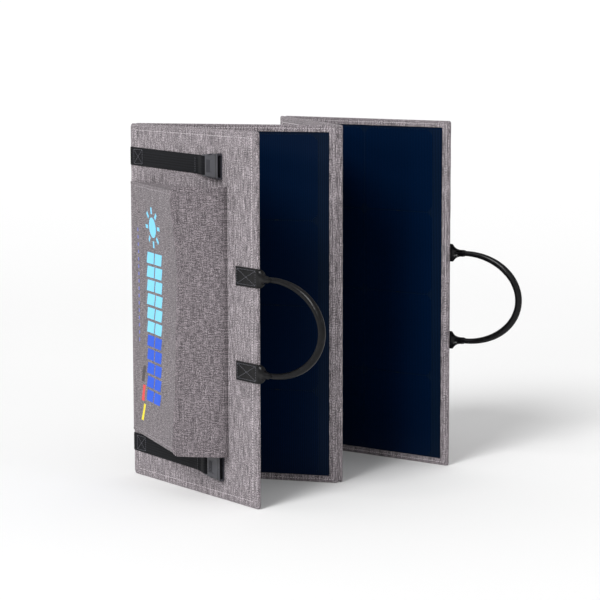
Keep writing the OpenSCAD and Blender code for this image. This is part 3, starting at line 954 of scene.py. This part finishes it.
def front_point(u, z, lift=0.0):
    """The pouch's front sheet; lift is how far above the cloth's middle."""
    across = (u - POUCH_U0) / (POUCH_U1 - POUCH_U0)
    up = (z - POUCH_Z0) / (POUCH_Z1 - POUCH_Z0)
    depth = 0.6 + (mouth_depth(z) - 0.6) * across
    sag = 3.4 * math.sin(math.pi * across) ** 0.8 * math.sin(math.pi * min(max(up, 0), 1)) ** 0.5
    folds = crease(u, z, (4, POUCH_Z1 - 4), (78, POUCH_Z1 - 96), 5, 2.4)
    folds += crease(u, z, (6, POUCH_Z0 + 6), (64, POUCH_Z0 + 62), 7, 1.6)
    folds += crease(u, z, (POUCH_U1 - 4, POUCH_Z1 - 60), (120, POUCH_Z1 - 84), 9, 1.0)
    folds += crease(u, z, (POUCH_U1 - 6, POUCH_Z0 + 84), (110, POUCH_Z0 + 60), 10, 1.1)
    ripple = 0.7 * noise.noise(Vector((u / 42, z / 60, 2.0)))
    ripple += 0.22 * noise.noise(Vector((u / 14, z / 14, 8.0)))
    loose = ease(min(across, 1 - across) * 8) * ease(min(up, 1 - up) * 12)
    seam = 0.5 * hump(min(z - POUCH_Z0, POUCH_Z1 - z), 2.0, 1.6)
    return Vector((u, BACK - depth + (sag + folds) * loose - ripple * loose - seam - lift, z))


def flap_point(reach, z, lift=0.0):
    """The flap; reach is how far along it from its hinge seam, from 0 to 1."""
    edge = Vector((POUCH_U1 - 2.5, BACK - mouth_depth(z) - 3.4))
    hinge = Vector((FLAP_U - 1.5, FLAP_V))
    line = edge - hinge
    out = Vector((-line.y, line.x)).normalized()
    puff = 6.0 * (1 - math.exp(-reach * 16)) * (1 - reach) ** 0.8 + 1.4 * math.sin(math.pi * reach)
    up = (z - FLAP_Z0) / (FLAP_Z1 - FLAP_Z0)
    at = reach * line.length
    folds = crease(at, z, (line.length, FLAP_Z0 + 150), (20, FLAP_Z0 + 128), 8, 1.0)
    folds += crease(at, z, (line.length, FLAP_Z1 - 60), (30, FLAP_Z1 - 105), 9, 1.2)
    folds += crease(at, z, (8, FLAP_Z0 + 60), (60, FLAP_Z0 + 22), 7, 0.9)
    ripple = 0.8 * noise.noise(Vector((at / 34, z / 46, 4.0)))
    ripple += 0.25 * noise.noise(Vector((at / 11, z / 13, 6.0)))
    hem = min(z - FLAP_Z0, FLAP_Z1 - z, line.length * (1 - reach))
    rolled = 0.9 * (1 - ease((hem - 8) / 2)) - 0.8 * hump(hem, 9.4, 1.4)
    loose = 0.25 + 0.75 * ease(min(up, 1 - up) * 8)
    rise = puff - folds + ripple * loose + rolled + lift
    place = hinge + line * reach + out * rise
    return Vector((place.x, place.y, z))


print("mouth depth, mm:", [round(mouth_depth(z), 1) for z in (POUCH_Z0, (POUCH_Z0 + POUCH_Z1) / 2, POUCH_Z1)])

# %% Front sheet and gussets
front_l = math.hypot(POUCH_U1 - POUCH_U0, POUCH_D)
front = sewn_sheet(
    "pouch_front_cloth", 90, 170, (front_l, POUCH_Z1 - POUCH_Z0),
    lambda a, b: front_point(POUCH_U0 + (POUCH_U1 - POUCH_U0) * a, POUCH_Z0 + (POUCH_Z1 - POUCH_Z0) * b),
    CLOTH_T,
)
dress(front, pouch_cloth_painted_shade, "panel_1", 60)
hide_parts("pouch_front")

for name, seam_z, sag in (("top", POUCH_Z1 - 0.6, -3.5), ("bottom", POUCH_Z0 + 0.6, 2.0)):
    def gusset_form(a, b):
        """A three-cornered sheet: as deep as the front sheet stands out, and none at its far end."""
        u = gusset_low.x + (gusset_high.x - gusset_low.x) * a
        past = max(0, (u - POUCH_U1) / (gusset_high.x - POUCH_U1))
        rise = BACK - front_point(min(u, POUCH_U1), seam_z).y - 0.8
        depth = rise * (1 - past) * b
        slack = sag * math.sin(math.pi * b) * math.sin(math.pi * a)
        slack += 0.5 * noise.noise(Vector((u / 16, depth / 12, sag)))
        return Vector((u, BACK - 0.3 - depth, seam_z + slack))

    gusset = sewn_sheet(f"gusset_{name}_cloth", 90, 26, (gusset_high.x - gusset_low.x, POUCH_D),
                        gusset_form, CLOTH_T)
    dress(gusset, pouch_cloth_painted_shade, "panel_1", 60)
    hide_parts(f"gusset_{name}")
print("pouch front, mm:", [round(x) for x in (front_l, POUCH_Z1 - POUCH_Z0)])

# %% Flap and its seam
FLAP_CORNER = 9.0
flap_l = (Vector((POUCH_U1, BACK - POUCH_D)) - Vector((FLAP_U, FLAP_V))).length


def flap_form(a, b):
    """The flap with its two free corners rounded off."""
    short = max(0, a * flap_l - flap_l + FLAP_CORNER)
    trim = FLAP_CORNER - math.sqrt(max(0, FLAP_CORNER ** 2 - short ** 2))
    middle, half = (FLAP_Z0 + FLAP_Z1) / 2, (FLAP_Z1 - FLAP_Z0) / 2
    return flap_point(a, middle + (b - 0.5) * 2 * (half - trim))


flap = sewn_sheet("pouch_flap_cloth", 64, 180, (flap_l, FLAP_Z1 - FLAP_Z0), flap_form, CLOTH_T + 0.7)
dress(flap, pouch_cloth_painted_shade, None, 60)
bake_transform(flap)
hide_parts("pouch_flap")

seam_low, seam_high = node_box("flap_seam")


def seam_form(a, b):
    """The flap's sewn hem on the case, dented where its thread runs."""
    u = FLAP_U - 2.5 + (seam_high.x - FLAP_U + 2.5) * a
    z = seam_low.z + (seam_high.z - seam_low.z) * b
    lift = 0.6 - 0.35 * ease((a - 0.6) * 2.5) - 0.3 * hump(u, seam_high.x - 4, 0.9)
    return Vector((u, BACK - lift + 0.12 * noise.noise(Vector((u / 8, z / 9, 1))), z))


seam = sewn_sheet(
    "flap_seam_hem", 14, 150, (seam_high.x - FLAP_U, seam_high.z - seam_low.z), seam_form, 0.6)
dress(seam, case_cloth, "panel_1", 60)
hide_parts("flap_seam")
print("flap, mm:", round(flap_l), "x", round(FLAP_Z1 - FLAP_Z0))


# %% Pouch stitching
def seam_along(points, out):
    """Stitches between each point of a bent seam and the next."""
    rows = []
    for start, end in zip(points, points[1:]):
        rows += stitch_row(start, end, out)
    return rows


def evenly(start, end, count):
    """Numbers from start to end in equal steps."""
    return [start + (end - start) * i / count for i in range(count + 1)]


places = []
for z in (POUCH_Z0 + 5, POUCH_Z1 - 5):
    line = [front_point(u, z, CLOTH_T / 2) for u in evenly(POUCH_U0 + 3, POUCH_U1 - 4, 24)]
    places += seam_along(line, BACKWARD)
line = [front_point(POUCH_U0 + 5, z, CLOTH_T / 2) for z in evenly(POUCH_Z0 + 5, POUCH_Z1 - 5, 44)]
places += seam_along(line, BACKWARD)
line = [(seam_high.x - 4, BACK - 1.1, z) for z in (seam_low.z + 3, seam_high.z - 3)]
places += stitch_row(*line, BACKWARD)
pouch_stitching = many("pouch_stitching", stitch, places)
settle(pouch_stitching, 1)
dress(pouch_stitching, grey_thread, "panel_1", 60)

places = []
for z in (FLAP_Z0 + 9, FLAP_Z1 - 9):
    places += seam_along([flap_point(r, z, CLOTH_T * 0.72) for r in evenly(0.12, 0.88, 16)], (0.7, -0.7, 0))
reach = 1 - 9 / flap_l
line = [flap_point(reach, z, CLOTH_T * 0.72) for z in evenly(FLAP_Z0 + 9, FLAP_Z1 - 9, 60)]
places += seam_along(line, (0.7, -0.7, 0))
flap_stitching = many("flap_stitching", stitch, places)
settle(flap_stitching, 1)
dress(flap_stitching, grey_thread, "pouch_flap", 60)
print("stitches on the pouch:", len(pouch_stitching.data.polygons) // len(stitch.data.polygons))


# %% Hook and loop tapes
def pile_tape(name, colour, coarse):
    """Nylon hook or loop pile: black, and so rough that it has no shine at all."""
    material, shader, tree = new_finish(name, colour, 1.0, Sheen_Weight=0.3, Specular_IOR_Level=0.1)
    place = add(tree, "TexCoord").outputs["Object"]
    pile = add(tree, "TexVoronoi", {"Vector": place, "Scale": 1 / (coarse * MM)})
    emboss(tree, shader, pile.outputs["Distance"], 0.9, 0.5)
    tint(tree, shader, pile.outputs["Distance"], [(0.0, "#35353a"), (0.6, colour)])
    return material


tape_low, tape_high = node_box("loop_tape")
TAPE_W = tape_high.x - tape_low.x


def tape_z(b):
    """Height along a tape, from its lower end at 0 to its upper end at 1."""
    return tape_low.z + (tape_high.z - tape_low.z) * b


tapes = {
    "hook_tape": ("hook_strip", "pouch_flap", pile_tape("nylon_hooks", "#141416", 1.0),
                  lambda a, b: flap_point(1 - (5 + TAPE_W * a) / flap_l, tape_z(b), -1.2)),
    "loop_tape": ("loop_strip", "panel_1", pile_tape("nylon_loops", "#19191c", 1.5),
                  lambda a, b: front_point(tape_low.x + TAPE_W * a, tape_z(b), -1.1)),
}
for node_name, (name, body, finish, form) in tapes.items():
    tape = sewn_sheet(name, 10, 90, (TAPE_W, tape_high.z - tape_low.z), form, 0.8)
    dress(tape, finish, body, 60)
    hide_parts(node_name)
print("tapes:", [row[0] for row in tapes.values()])

# %% [markdown]
# ## The print on the pouch
# The pouch carries a print in bright ink. This one is made up for the lesson: a sun over a column of
# small square cells that run from sky blue to royal blue, three slanted bars below, and a row of
# little squares beside them. A screen print lies on the cloth and bends with it, so each shape is a flat
# mesh cut into small faces, moved on to the front sheet's form and lifted by the ink's thickness.

# %% Screen print
INK_T = 0.12


def screen_ink(name, colour):
    """Plastisol ink: flat strong colour, a little shinier than cloth, thin over the high threads."""
    material, shader, tree = new_finish(name, colour, 0.6, Specular_IOR_Level=0.3)
    place = add(tree, "TexCoord").outputs["Object"]
    threads = add(tree, "TexNoise", {"Vector": place, "Scale": 1 / (THREAD_DRAWN * MM), "Detail": 3.0})
    thin = add(tree, "MapRange", {"Value": threads.outputs[0], "From Min": 0.55, "From Max": 0.75,
                                  "To Max": 0.35})
    tone = add(tree, "Mix", {0: thin.outputs[0], 6: linear(colour), 7: linear("#7c7478")}, data_type="RGBA")
    tree.links.new(tone.outputs[2], shader.inputs["Base Color"])
    emboss(tree, shader, threads.outputs[0], 0.4, 0.15)
    return material


def tile(u, z, wide, high, slant=0.0):
    """A four-sided patch; slant shifts its top along."""
    columns, rows = (max(2, round(length / 3)) for length in (wide, high))
    bpy.ops.mesh.primitive_grid_add(x_subdivisions=columns, y_subdivisions=rows, size=1)
    patch = bpy.context.object
    for vertex in patch.data.vertices:
        a, b = vertex.co.x, vertex.co.y
        vertex.co = Vector((u + a * wide + b * slant, 0, z + b * high))
    return patch


def disc(u, z, radius):
    """A flat round patch, cut finely enough to bend."""
    bpy.ops.mesh.primitive_circle_add(vertices=40, radius=radius, fill_type="TRIFAN")
    patch = bpy.context.object
    pick(patch, lambda face: True)
    bpy.ops.mesh.subdivide(number_cuts=3)
    object_mode()
    for vertex in patch.data.vertices:
        vertex.co = Vector((u + vertex.co.x, 0, z + vertex.co.y))
    return patch


def ray(u, z, near, far, wide, angle):
    """A short bar that points away from a middle, from near to far."""
    patch = tile(0, 0, wide, far - near)
    for vertex in patch.data.vertices:
        out, side = near + (far - near) / 2 + vertex.co.z, vertex.co.x
        vertex.co = Vector((u + math.cos(angle) * out - math.sin(angle) * side, 0,
                            z + math.sin(angle) * out + math.cos(angle) * side))
    return patch


def printed(name, patches, ink):
    """Joins flat patches, bends them over the pouch's front and gives them the ink's thickness."""
    object_mode()
    bpy.ops.object.select_all(action="DESELECT")
    for patch in patches:
        patch.select_set(True)
    bpy.context.view_layer.objects.active = patches[0]
    bpy.ops.object.join()
    piece = bpy.context.object
    piece.name = piece.data.name = name
    bpy.ops.object.transform_apply(location=True, rotation=True, scale=True)
    for vertex in piece.data.vertices:
        vertex.co = front_point(vertex.co.x, vertex.co.z, CLOTH_T / 2 + INK_T)
    thicken(piece, INK_T)
    outward(piece)
    settle(piece, 1)
    return dress(piece, ink, "panel_1", 60)


PRINT_U, CELL_GAP, CELL_W, CELL_H = 90.0, 4.0, 27.0, 16.5
SUN_Z = POUCH_Z1 - 62
cells_sky, cells_royal = [], []
for row in range(11):
    for column in (-1, 1):
        z = SUN_Z - 46 - row * (CELL_H + CELL_GAP)
        place = tile(PRINT_U + column * (CELL_W + CELL_GAP) / 2, z, CELL_W, CELL_H, 4.0)
        (cells_sky if row < 6 else cells_royal).append(place)
sunburst = [disc(PRINT_U, SUN_Z, 15)]
sunburst += [ray(PRINT_U, SUN_Z, 20, 30, 5.5, math.radians(45 * i)) for i in range(8)]
BAR_U, BAR_Z, BAR_STEP = 46.0, POUCH_Z0 + 34, 29
BAR_WIDE, BAR_HIGH, BAR_SLANT = 10, 25, 7
printed("print_sky_blue", sunburst + cells_sky, screen_ink("sky_blue_ink", "#7fd4f7"))
printed("print_royal_blue", cells_royal, screen_ink("royal_blue_ink", "#1b57d6"))
for steps_up, name, colour in ((2, "charcoal", "#4a4446"), (1, "red", "#e0494b"), (0, "yellow", "#f1df2a")):
    slanted = tile(BAR_U, BAR_Z + steps_up * BAR_STEP, BAR_WIDE, BAR_HIGH, BAR_SLANT)
    printed(f"print_{name}", [slanted], screen_ink(f"{name}_ink", colour))
dots = [tile(28, POUCH_Z1 - 70 - 11 * i, 3.2, 5.0) for i in range(16)]
printed("print_violet", dots, screen_ink("violet_blue_ink", "#6d77c4"))

# %% [markdown]
# ## Leather handles
# Each handle is one strip of black leather, rolled round a rope and sewn shut along the roll. At both
# ends it opens into a pointed leaf that lies over the end of the roll and runs on as a flat tab, sewn
# to the panel through a box and a cross. The leaf is a sheet whose curl tightens from flat to the
# roll's own radius, and the roll is a tube along the legs and bend.


# %% Leather
def glazed_leather():
    """Coated leather: black, with a pebbled grain, and glossy where the coat is pulled tight."""
    material, shader, tree = new_finish(
        "glazed_black_leather", "#09090b", 0.34, Coat_Weight=0.14, Coat_Roughness=0.1,
        Specular_IOR_Level=0.14)
    place = add(tree, "TexCoord").outputs["Object"]
    pebbles = add(tree, "TexVoronoi", {"Vector": place, "Scale": 1 / (1.3 * MM)}, feature="SMOOTH_F1")
    creases = add(tree, "TexNoise", {"Vector": place, "Scale": 1 / (5 * MM), "Detail": 5.0,
                                     "Roughness": 0.65})
    tones = [(0.35, "#050506"), (0.55, "#0a0a0c"), (0.72, "#161619")]
    tint(tree, shader, creases.outputs[0], tones)
    dull = add(tree, "MapRange", {"Value": creases.outputs[0], "From Min": 0.3, "From Max": 0.7,
                                  "To Min": 0.26, "To Max": 0.46})
    tree.links.new(dull.outputs[0], shader.inputs["Roughness"])
    grain = add(tree, "Math", {0: pebbles.outputs["Distance"], 1: creases.outputs[0]}, operation="MULTIPLY")
    emboss(tree, shader, grain.outputs[0], 0.45, 0.25)
    return material


def laid_rope():
    """Three-strand cotton rope: cream, with slanting strands."""
    material, shader, tree = new_finish("laid_cotton_rope", "#d8d1c2", 0.9, Sheen_Weight=0.2)
    place = add(tree, "TexCoord").outputs["Object"]
    strands = add(tree, "TexWave", {"Vector": place, "Scale": 1 / (2 * 4 * MM), "Distortion": 1.0},
                  bands_direction="DIAGONAL")
    # The colour follows the strands' relief, so the grooves between strands carry painted shade.
    tint(tree, shader, strands.outputs[1], [(0.1, "#a9a191"), (0.6, "#d8d1c2")])
    emboss(tree, shader, strands.outputs[1], 0.5, 0.4)
    return material


leather, cotton = glazed_leather(), laid_rope()
print("handle finishes:", leather.name, cotton.name)

# %% The handles' frames
tabs_low, tabs_high = node_box("handle_1_tabs")
TAB_L, TAB_T, TAB_W = tabs_high.x - tabs_low.x, tabs_high.y - tabs_low.y, 27.0
SPAN = tabs_high.z - tabs_low.z - 28.0
GRIP_R, THIN_R, REACH, LEAF_L, BEND_S = 5.25, 4.0, 117.0, 27.0, 24.0


class Handle:
    """Turns distance beyond the hinge, height off the leather's middle, and z into a panel's frame."""

    def __init__(self, number, panel):
        self.name, self.panel = f"handle_{number}", panel
        back_to_panel = PANEL[panel].inverted()
        self.hinge = back_to_panel @ Vector(joints[f"{self.name}_swing"]["pos_m"])
        hold = back_to_panel @ Vector(mounts[f"{self.name}_hold"]["pos_m"])
        self.z = hold.z
        self.away = Vector((hold.x - self.hinge.x, hold.y - self.hinge.y)).normalized()

    def point(self, s, off, z):
        """A point s beyond the hinge, off the leather's middle, and z from the handle's middle."""
        out = Vector((0, -1)).lerp(Vector((self.away.y, -self.away.x)), ease((s + 3) / 8)).normalized()
        along = self.away * s if s > 0 else Vector((s, 0))
        place = Vector((self.hinge.x, self.hinge.y)) + along + out * off
        return Vector((place.x, place.y, self.z + z))

    def scene_point(self, s):
        """The same in the scene, in metres, on the handle's middle."""
        return PANEL[self.panel] @ self.point(s, 0, 0)


HANDLES = [Handle(1, 1), Handle(2, 4)]
TAB_START = tabs_low.x - HANDLES[0].hinge.x


def leaf_form(handle, middle):
    """Tab and leaf: flat on the panel, then curling round the roll and ending in a point."""
    def form(a, b):
        s = TAB_START + (LEAF_L - TAB_START) * b
        t = min(max(s / LEAF_L, 0), 1)
        wide = TAB_W / 2 * max(0.05, 1 - max(0, (t - 0.12) / 0.88) ** 1.7)
        curl = ease((s + 2) / 18)
        across = (2 * a - 1) * wide
        bend = max(curl / (THIN_R + 0.5), 1e-4)
        side, drop = math.sin(across * bend) / bend, (1 - math.cos(across * bend)) / bend
        edge = min(wide - abs(across), s - TAB_START)
        sewn = -0.35 * hump(edge, 3.0, 0.8) * (1 - ease(s / 6))
        wrinkle = 0.22 * noise.noise(Vector((s / 6, across / 5, middle)))
        off = curl * (THIN_R + 0.5) - drop + sewn + wrinkle - 0.15
        return handle.point(s, off, middle + side)
    return form


def loop_place(b):
    """A place on the handle's loop and the way out from it: short legs, then half an oval."""
    start, far, half = 5.0, REACH - GRIP_R, SPAN / 2
    straight = 0.075
    if straight < b < 1 - straight:
        around = math.pi * (b - straight) / (1 - 2 * straight)
        s, z = BEND_S + math.sin(around) * (far - BEND_S), math.cos(around) * half
        out = Vector((math.sin(around) / (far - BEND_S), math.cos(around) / half)).normalized()
        return s, z, out
    sign = 1 if b < 0.5 else -1
    return start + (BEND_S - start) * min(b, 1 - b) / straight, half * sign, Vector((0, sign))


def roll_form(handle):
    """The rolled grip: thin and flattened where it starts under the leaf, thicker in the bend."""
    def form(a, b):
        s, z, out = loop_place(b)
        angle = 2 * math.pi * a
        grown = ease((s - 5) / 20)
        radius = 1.3 + (THIN_R - 1.3) * grown + (GRIP_R - THIN_R) * ease((s - 20) / 75)
        seam = 0.55 * hump(a, 0.34, 0.024) - 0.25 * hump(a, 0.385, 0.02)
        wrinkle = 0.10 * noise.noise(Vector((b * 56, math.cos(angle), math.sin(angle))))
        radius += seam + wrinkle
        reach, rise = math.cos(angle) * radius, math.sin(angle) * radius
        return handle.point(s + out.x * reach, rise * (0.8 + 0.14 * grown), z + out.y * reach)
    return form


def rope_form(handle):
    """Three strands laid round each other along the same loop."""
    def form(a, b):
        s, z, out = loop_place(0.05 + 0.9 * b)
        angle = 2 * math.pi * a
        radius = 2.4 * (1 + 0.12 * math.cos(3 * angle + 160 * b)) * ease(s / 24)
        return handle.point(s + out.x * math.cos(angle) * radius, math.sin(angle) * radius,
                            z + out.y * math.cos(angle) * radius)
    return form


def joined(name, pieces):
    """Joins pieces into the first of them."""
    choose(pieces[0])
    for piece in pieces:
        piece.select_set(True)
    bpy.ops.object.join()
    pieces[0].name = pieces[0].data.name = name
    return pieces[0]


# %% Tabs, leaves, grips and their stitching
for handle in HANDLES:
    leaves = []
    for middle in (-SPAN / 2, SPAN / 2):
        leaf = laid_sheet("leaf", 26, 74, (TAB_W, TAB_L + LEAF_L), leaf_form(handle, middle))
        thicken(leaf, TAB_T - 0.8)
        outward(leaf)
        rubbed_edges(leaf, 0.45, 50)
        leaves.append(leaf)
    tabs = joined(f"{handle.name}_tabs_and_leaves", leaves)
    settle(tabs, handle.panel)
    dress(tabs, leather, None, 45)
    handle.scene_point(-2.5)
    handle.scene_point(4)
    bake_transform(tabs)
    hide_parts(f"{handle.name}_tabs")

    roll = wrapped_tube(f"{handle.name}_rolled_grip", 32, 150, (33, 280), roll_form(handle))
    settle(roll, handle.panel)
    dress(roll, leather, handle.name, 60)
    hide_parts(f"{handle.name}_grip")

    rope = wrapped_tube(f"{handle.name}_rope", 18, 220, (15, 270), rope_form(handle))
    settle(rope, handle.panel)
    dress(rope, cotton, handle.name, 80)
    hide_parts(f"{handle.name}_core")

    places = []
    for middle in (-SPAN / 2, SPAN / 2):
        z, half = handle.z + middle, TAB_W / 2 - 3
        u0, u1 = PANEL_W - TAB_L + 3, PANEL_W - 3
        places += cross_box(u0, u1, z - half, z + half, BACK - TAB_T + 0.42, BACKWARD, 3.2, 2.4)
        places += cross_box(
            PANEL_W - BORDER_SIDE + 2, PANEL_W - 2.4, z - half, z + half, FRONT, FORWARD, 3.2, 2.4)
    stitching = many(f"{handle.name}_stitching", stitch, places)
    settle(stitching, handle.panel)
    dress(stitching, black_thread, f"panel_{handle.panel}", 60)
print("handles:", [(handle.name, [round(x, 3) for x in handle.away]) for handle in HANDLES])

# %% [markdown]
# ## Finishes for the engineering parts
# The cell sheets, the boards, the tinned conductors, the junction box and its diodes have the right
# shape already, so each keeps its mesh and only gets its real finish. The cells are near-black blue
# silicon under a matt film that is embossed with a fine grain, which is why they hardly reflect.

# %% Cells and film
DRAWN_PITCH = 4.5


def embossed_film(name, colour, pale, roughness, panel):
    """ETFE film over a dark sheet: dimpled, so that it scatters the light and stays nearly black."""
    material, shader, tree = new_finish(name, colour, roughness, IOR=1.4, Specular_IOR_Level=0.09)
    place = add(tree, "TexCoord").outputs["Object"]
    cloud = add(tree, "TexNoise", {"Vector": place, "Scale": 5.0, "Detail": 2.0})
    along = add(tree, "Mapping", {"Vector": place, "Rotation": (0, 0, -turn[panel])})
    drawn_lines = add(tree, "TexWave", {"Vector": along.outputs[0], "Scale": 1 / (2 * DRAWN_PITCH * MM),
                                        "Distortion": 0.6, "Detail": 2.0, "Detail Scale": 0.02})
    lines = add(tree, "Math", {0: drawn_lines.outputs[1], 1: cloud.outputs[0]}, operation="MULTIPLY")
    tint(tree, shader, lines.outputs[0], [(0.1, colour), (0.6, pale)])
    dimples = add(tree, "TexVoronoi", {"Vector": place, "Scale": 1 / (1.6 * MM)}, feature="SMOOTH_F1")
    upright = add(tree, "Mapping", {"Vector": place, "Scale": (1 / (9 * MM), 1 / (9 * MM), 1.2)})
    drawn = add(tree, "TexNoise", {"Vector": upright.outputs[0], "Scale": 1.0, "Detail": 2.0})
    relief = add(tree, "Math", {0: drawn.outputs[0], 1: 2.5, 2: dimples.outputs["Distance"]},
                 operation="MULTIPLY_ADD")
    emboss(tree, shader, relief.outputs[0], 0.35, 0.12)
    return material


def pressed_board():
    """Pressed fibre board: tan, with short dark fibres in it."""
    material, shader, tree = new_finish("pressed_fibre_board", "#a98a5e", 0.85)
    place = add(tree, "TexCoord").outputs["Object"]
    fibres = add(tree, "TexNoise", {"Vector": place, "Scale": 1 / (2 * MM), "Detail": 6.0, "Roughness": 0.7})
    tint(tree, shader, fibres.outputs[0], [(0.35, "#7d6340"), (0.6, "#b39468")])
    return material


def blackened_copper():
    """Tinned copper ribbon with a black coat, so that it hides between the cells: a dull wavy skin."""
    material, shader, tree = new_finish("blackened_tinned_copper", "#15181e", 0.5, Metallic=0.6)
    place = add(tree, "TexCoord").outputs["Object"]
    skin = add(tree, "TexNoise", {"Vector": place, "Scale": 1 / (3 * MM), "Detail": 2.0})
    emboss(tree, shader, skin.outputs[0], 0.3, 0.1)
    return material


box_shell = moulded_plastic("moulded_abs", "#17171a", 0.5, 0.8)
epoxy = moulded_plastic("cast_epoxy", "#212125", 0.3, 1.2)
node_finish = {
    "_board": pressed_board(),
    "_ribbons": blackened_copper(),
    "junction_box": box_shell,
    "junction_lid": box_shell,
    "bypass_diodes": epoxy,
}
for n in PANEL:
    node_finish[f"panel_{n}_laminate"] = embossed_film(f"etfe_film_{n}", "#03101f", "#0b1c38", 0.4, n)
    silicon = embossed_film(f"monocrystalline_silicon_{n}", "#000f26", "#001634", 0.36, n)
    node_finish[f"panel_{n}_cells"] = silicon
for node_name, piece in frame["nodes"].items():
    for ending, finish in node_finish.items():
        if node_name.endswith(ending):
            for place in piece.material_slots:
                place.material = finish
for node_name in ("junction_box", "junction_lid"):
    soften_node(frame["nodes"][node_name], 0.5)
print("finished nodes:", sum(name.endswith(tuple(node_finish)) for name in frame["nodes"]))

# %% The stitch pattern is thrown away
bpy.data.meshes.remove(stitch.data)
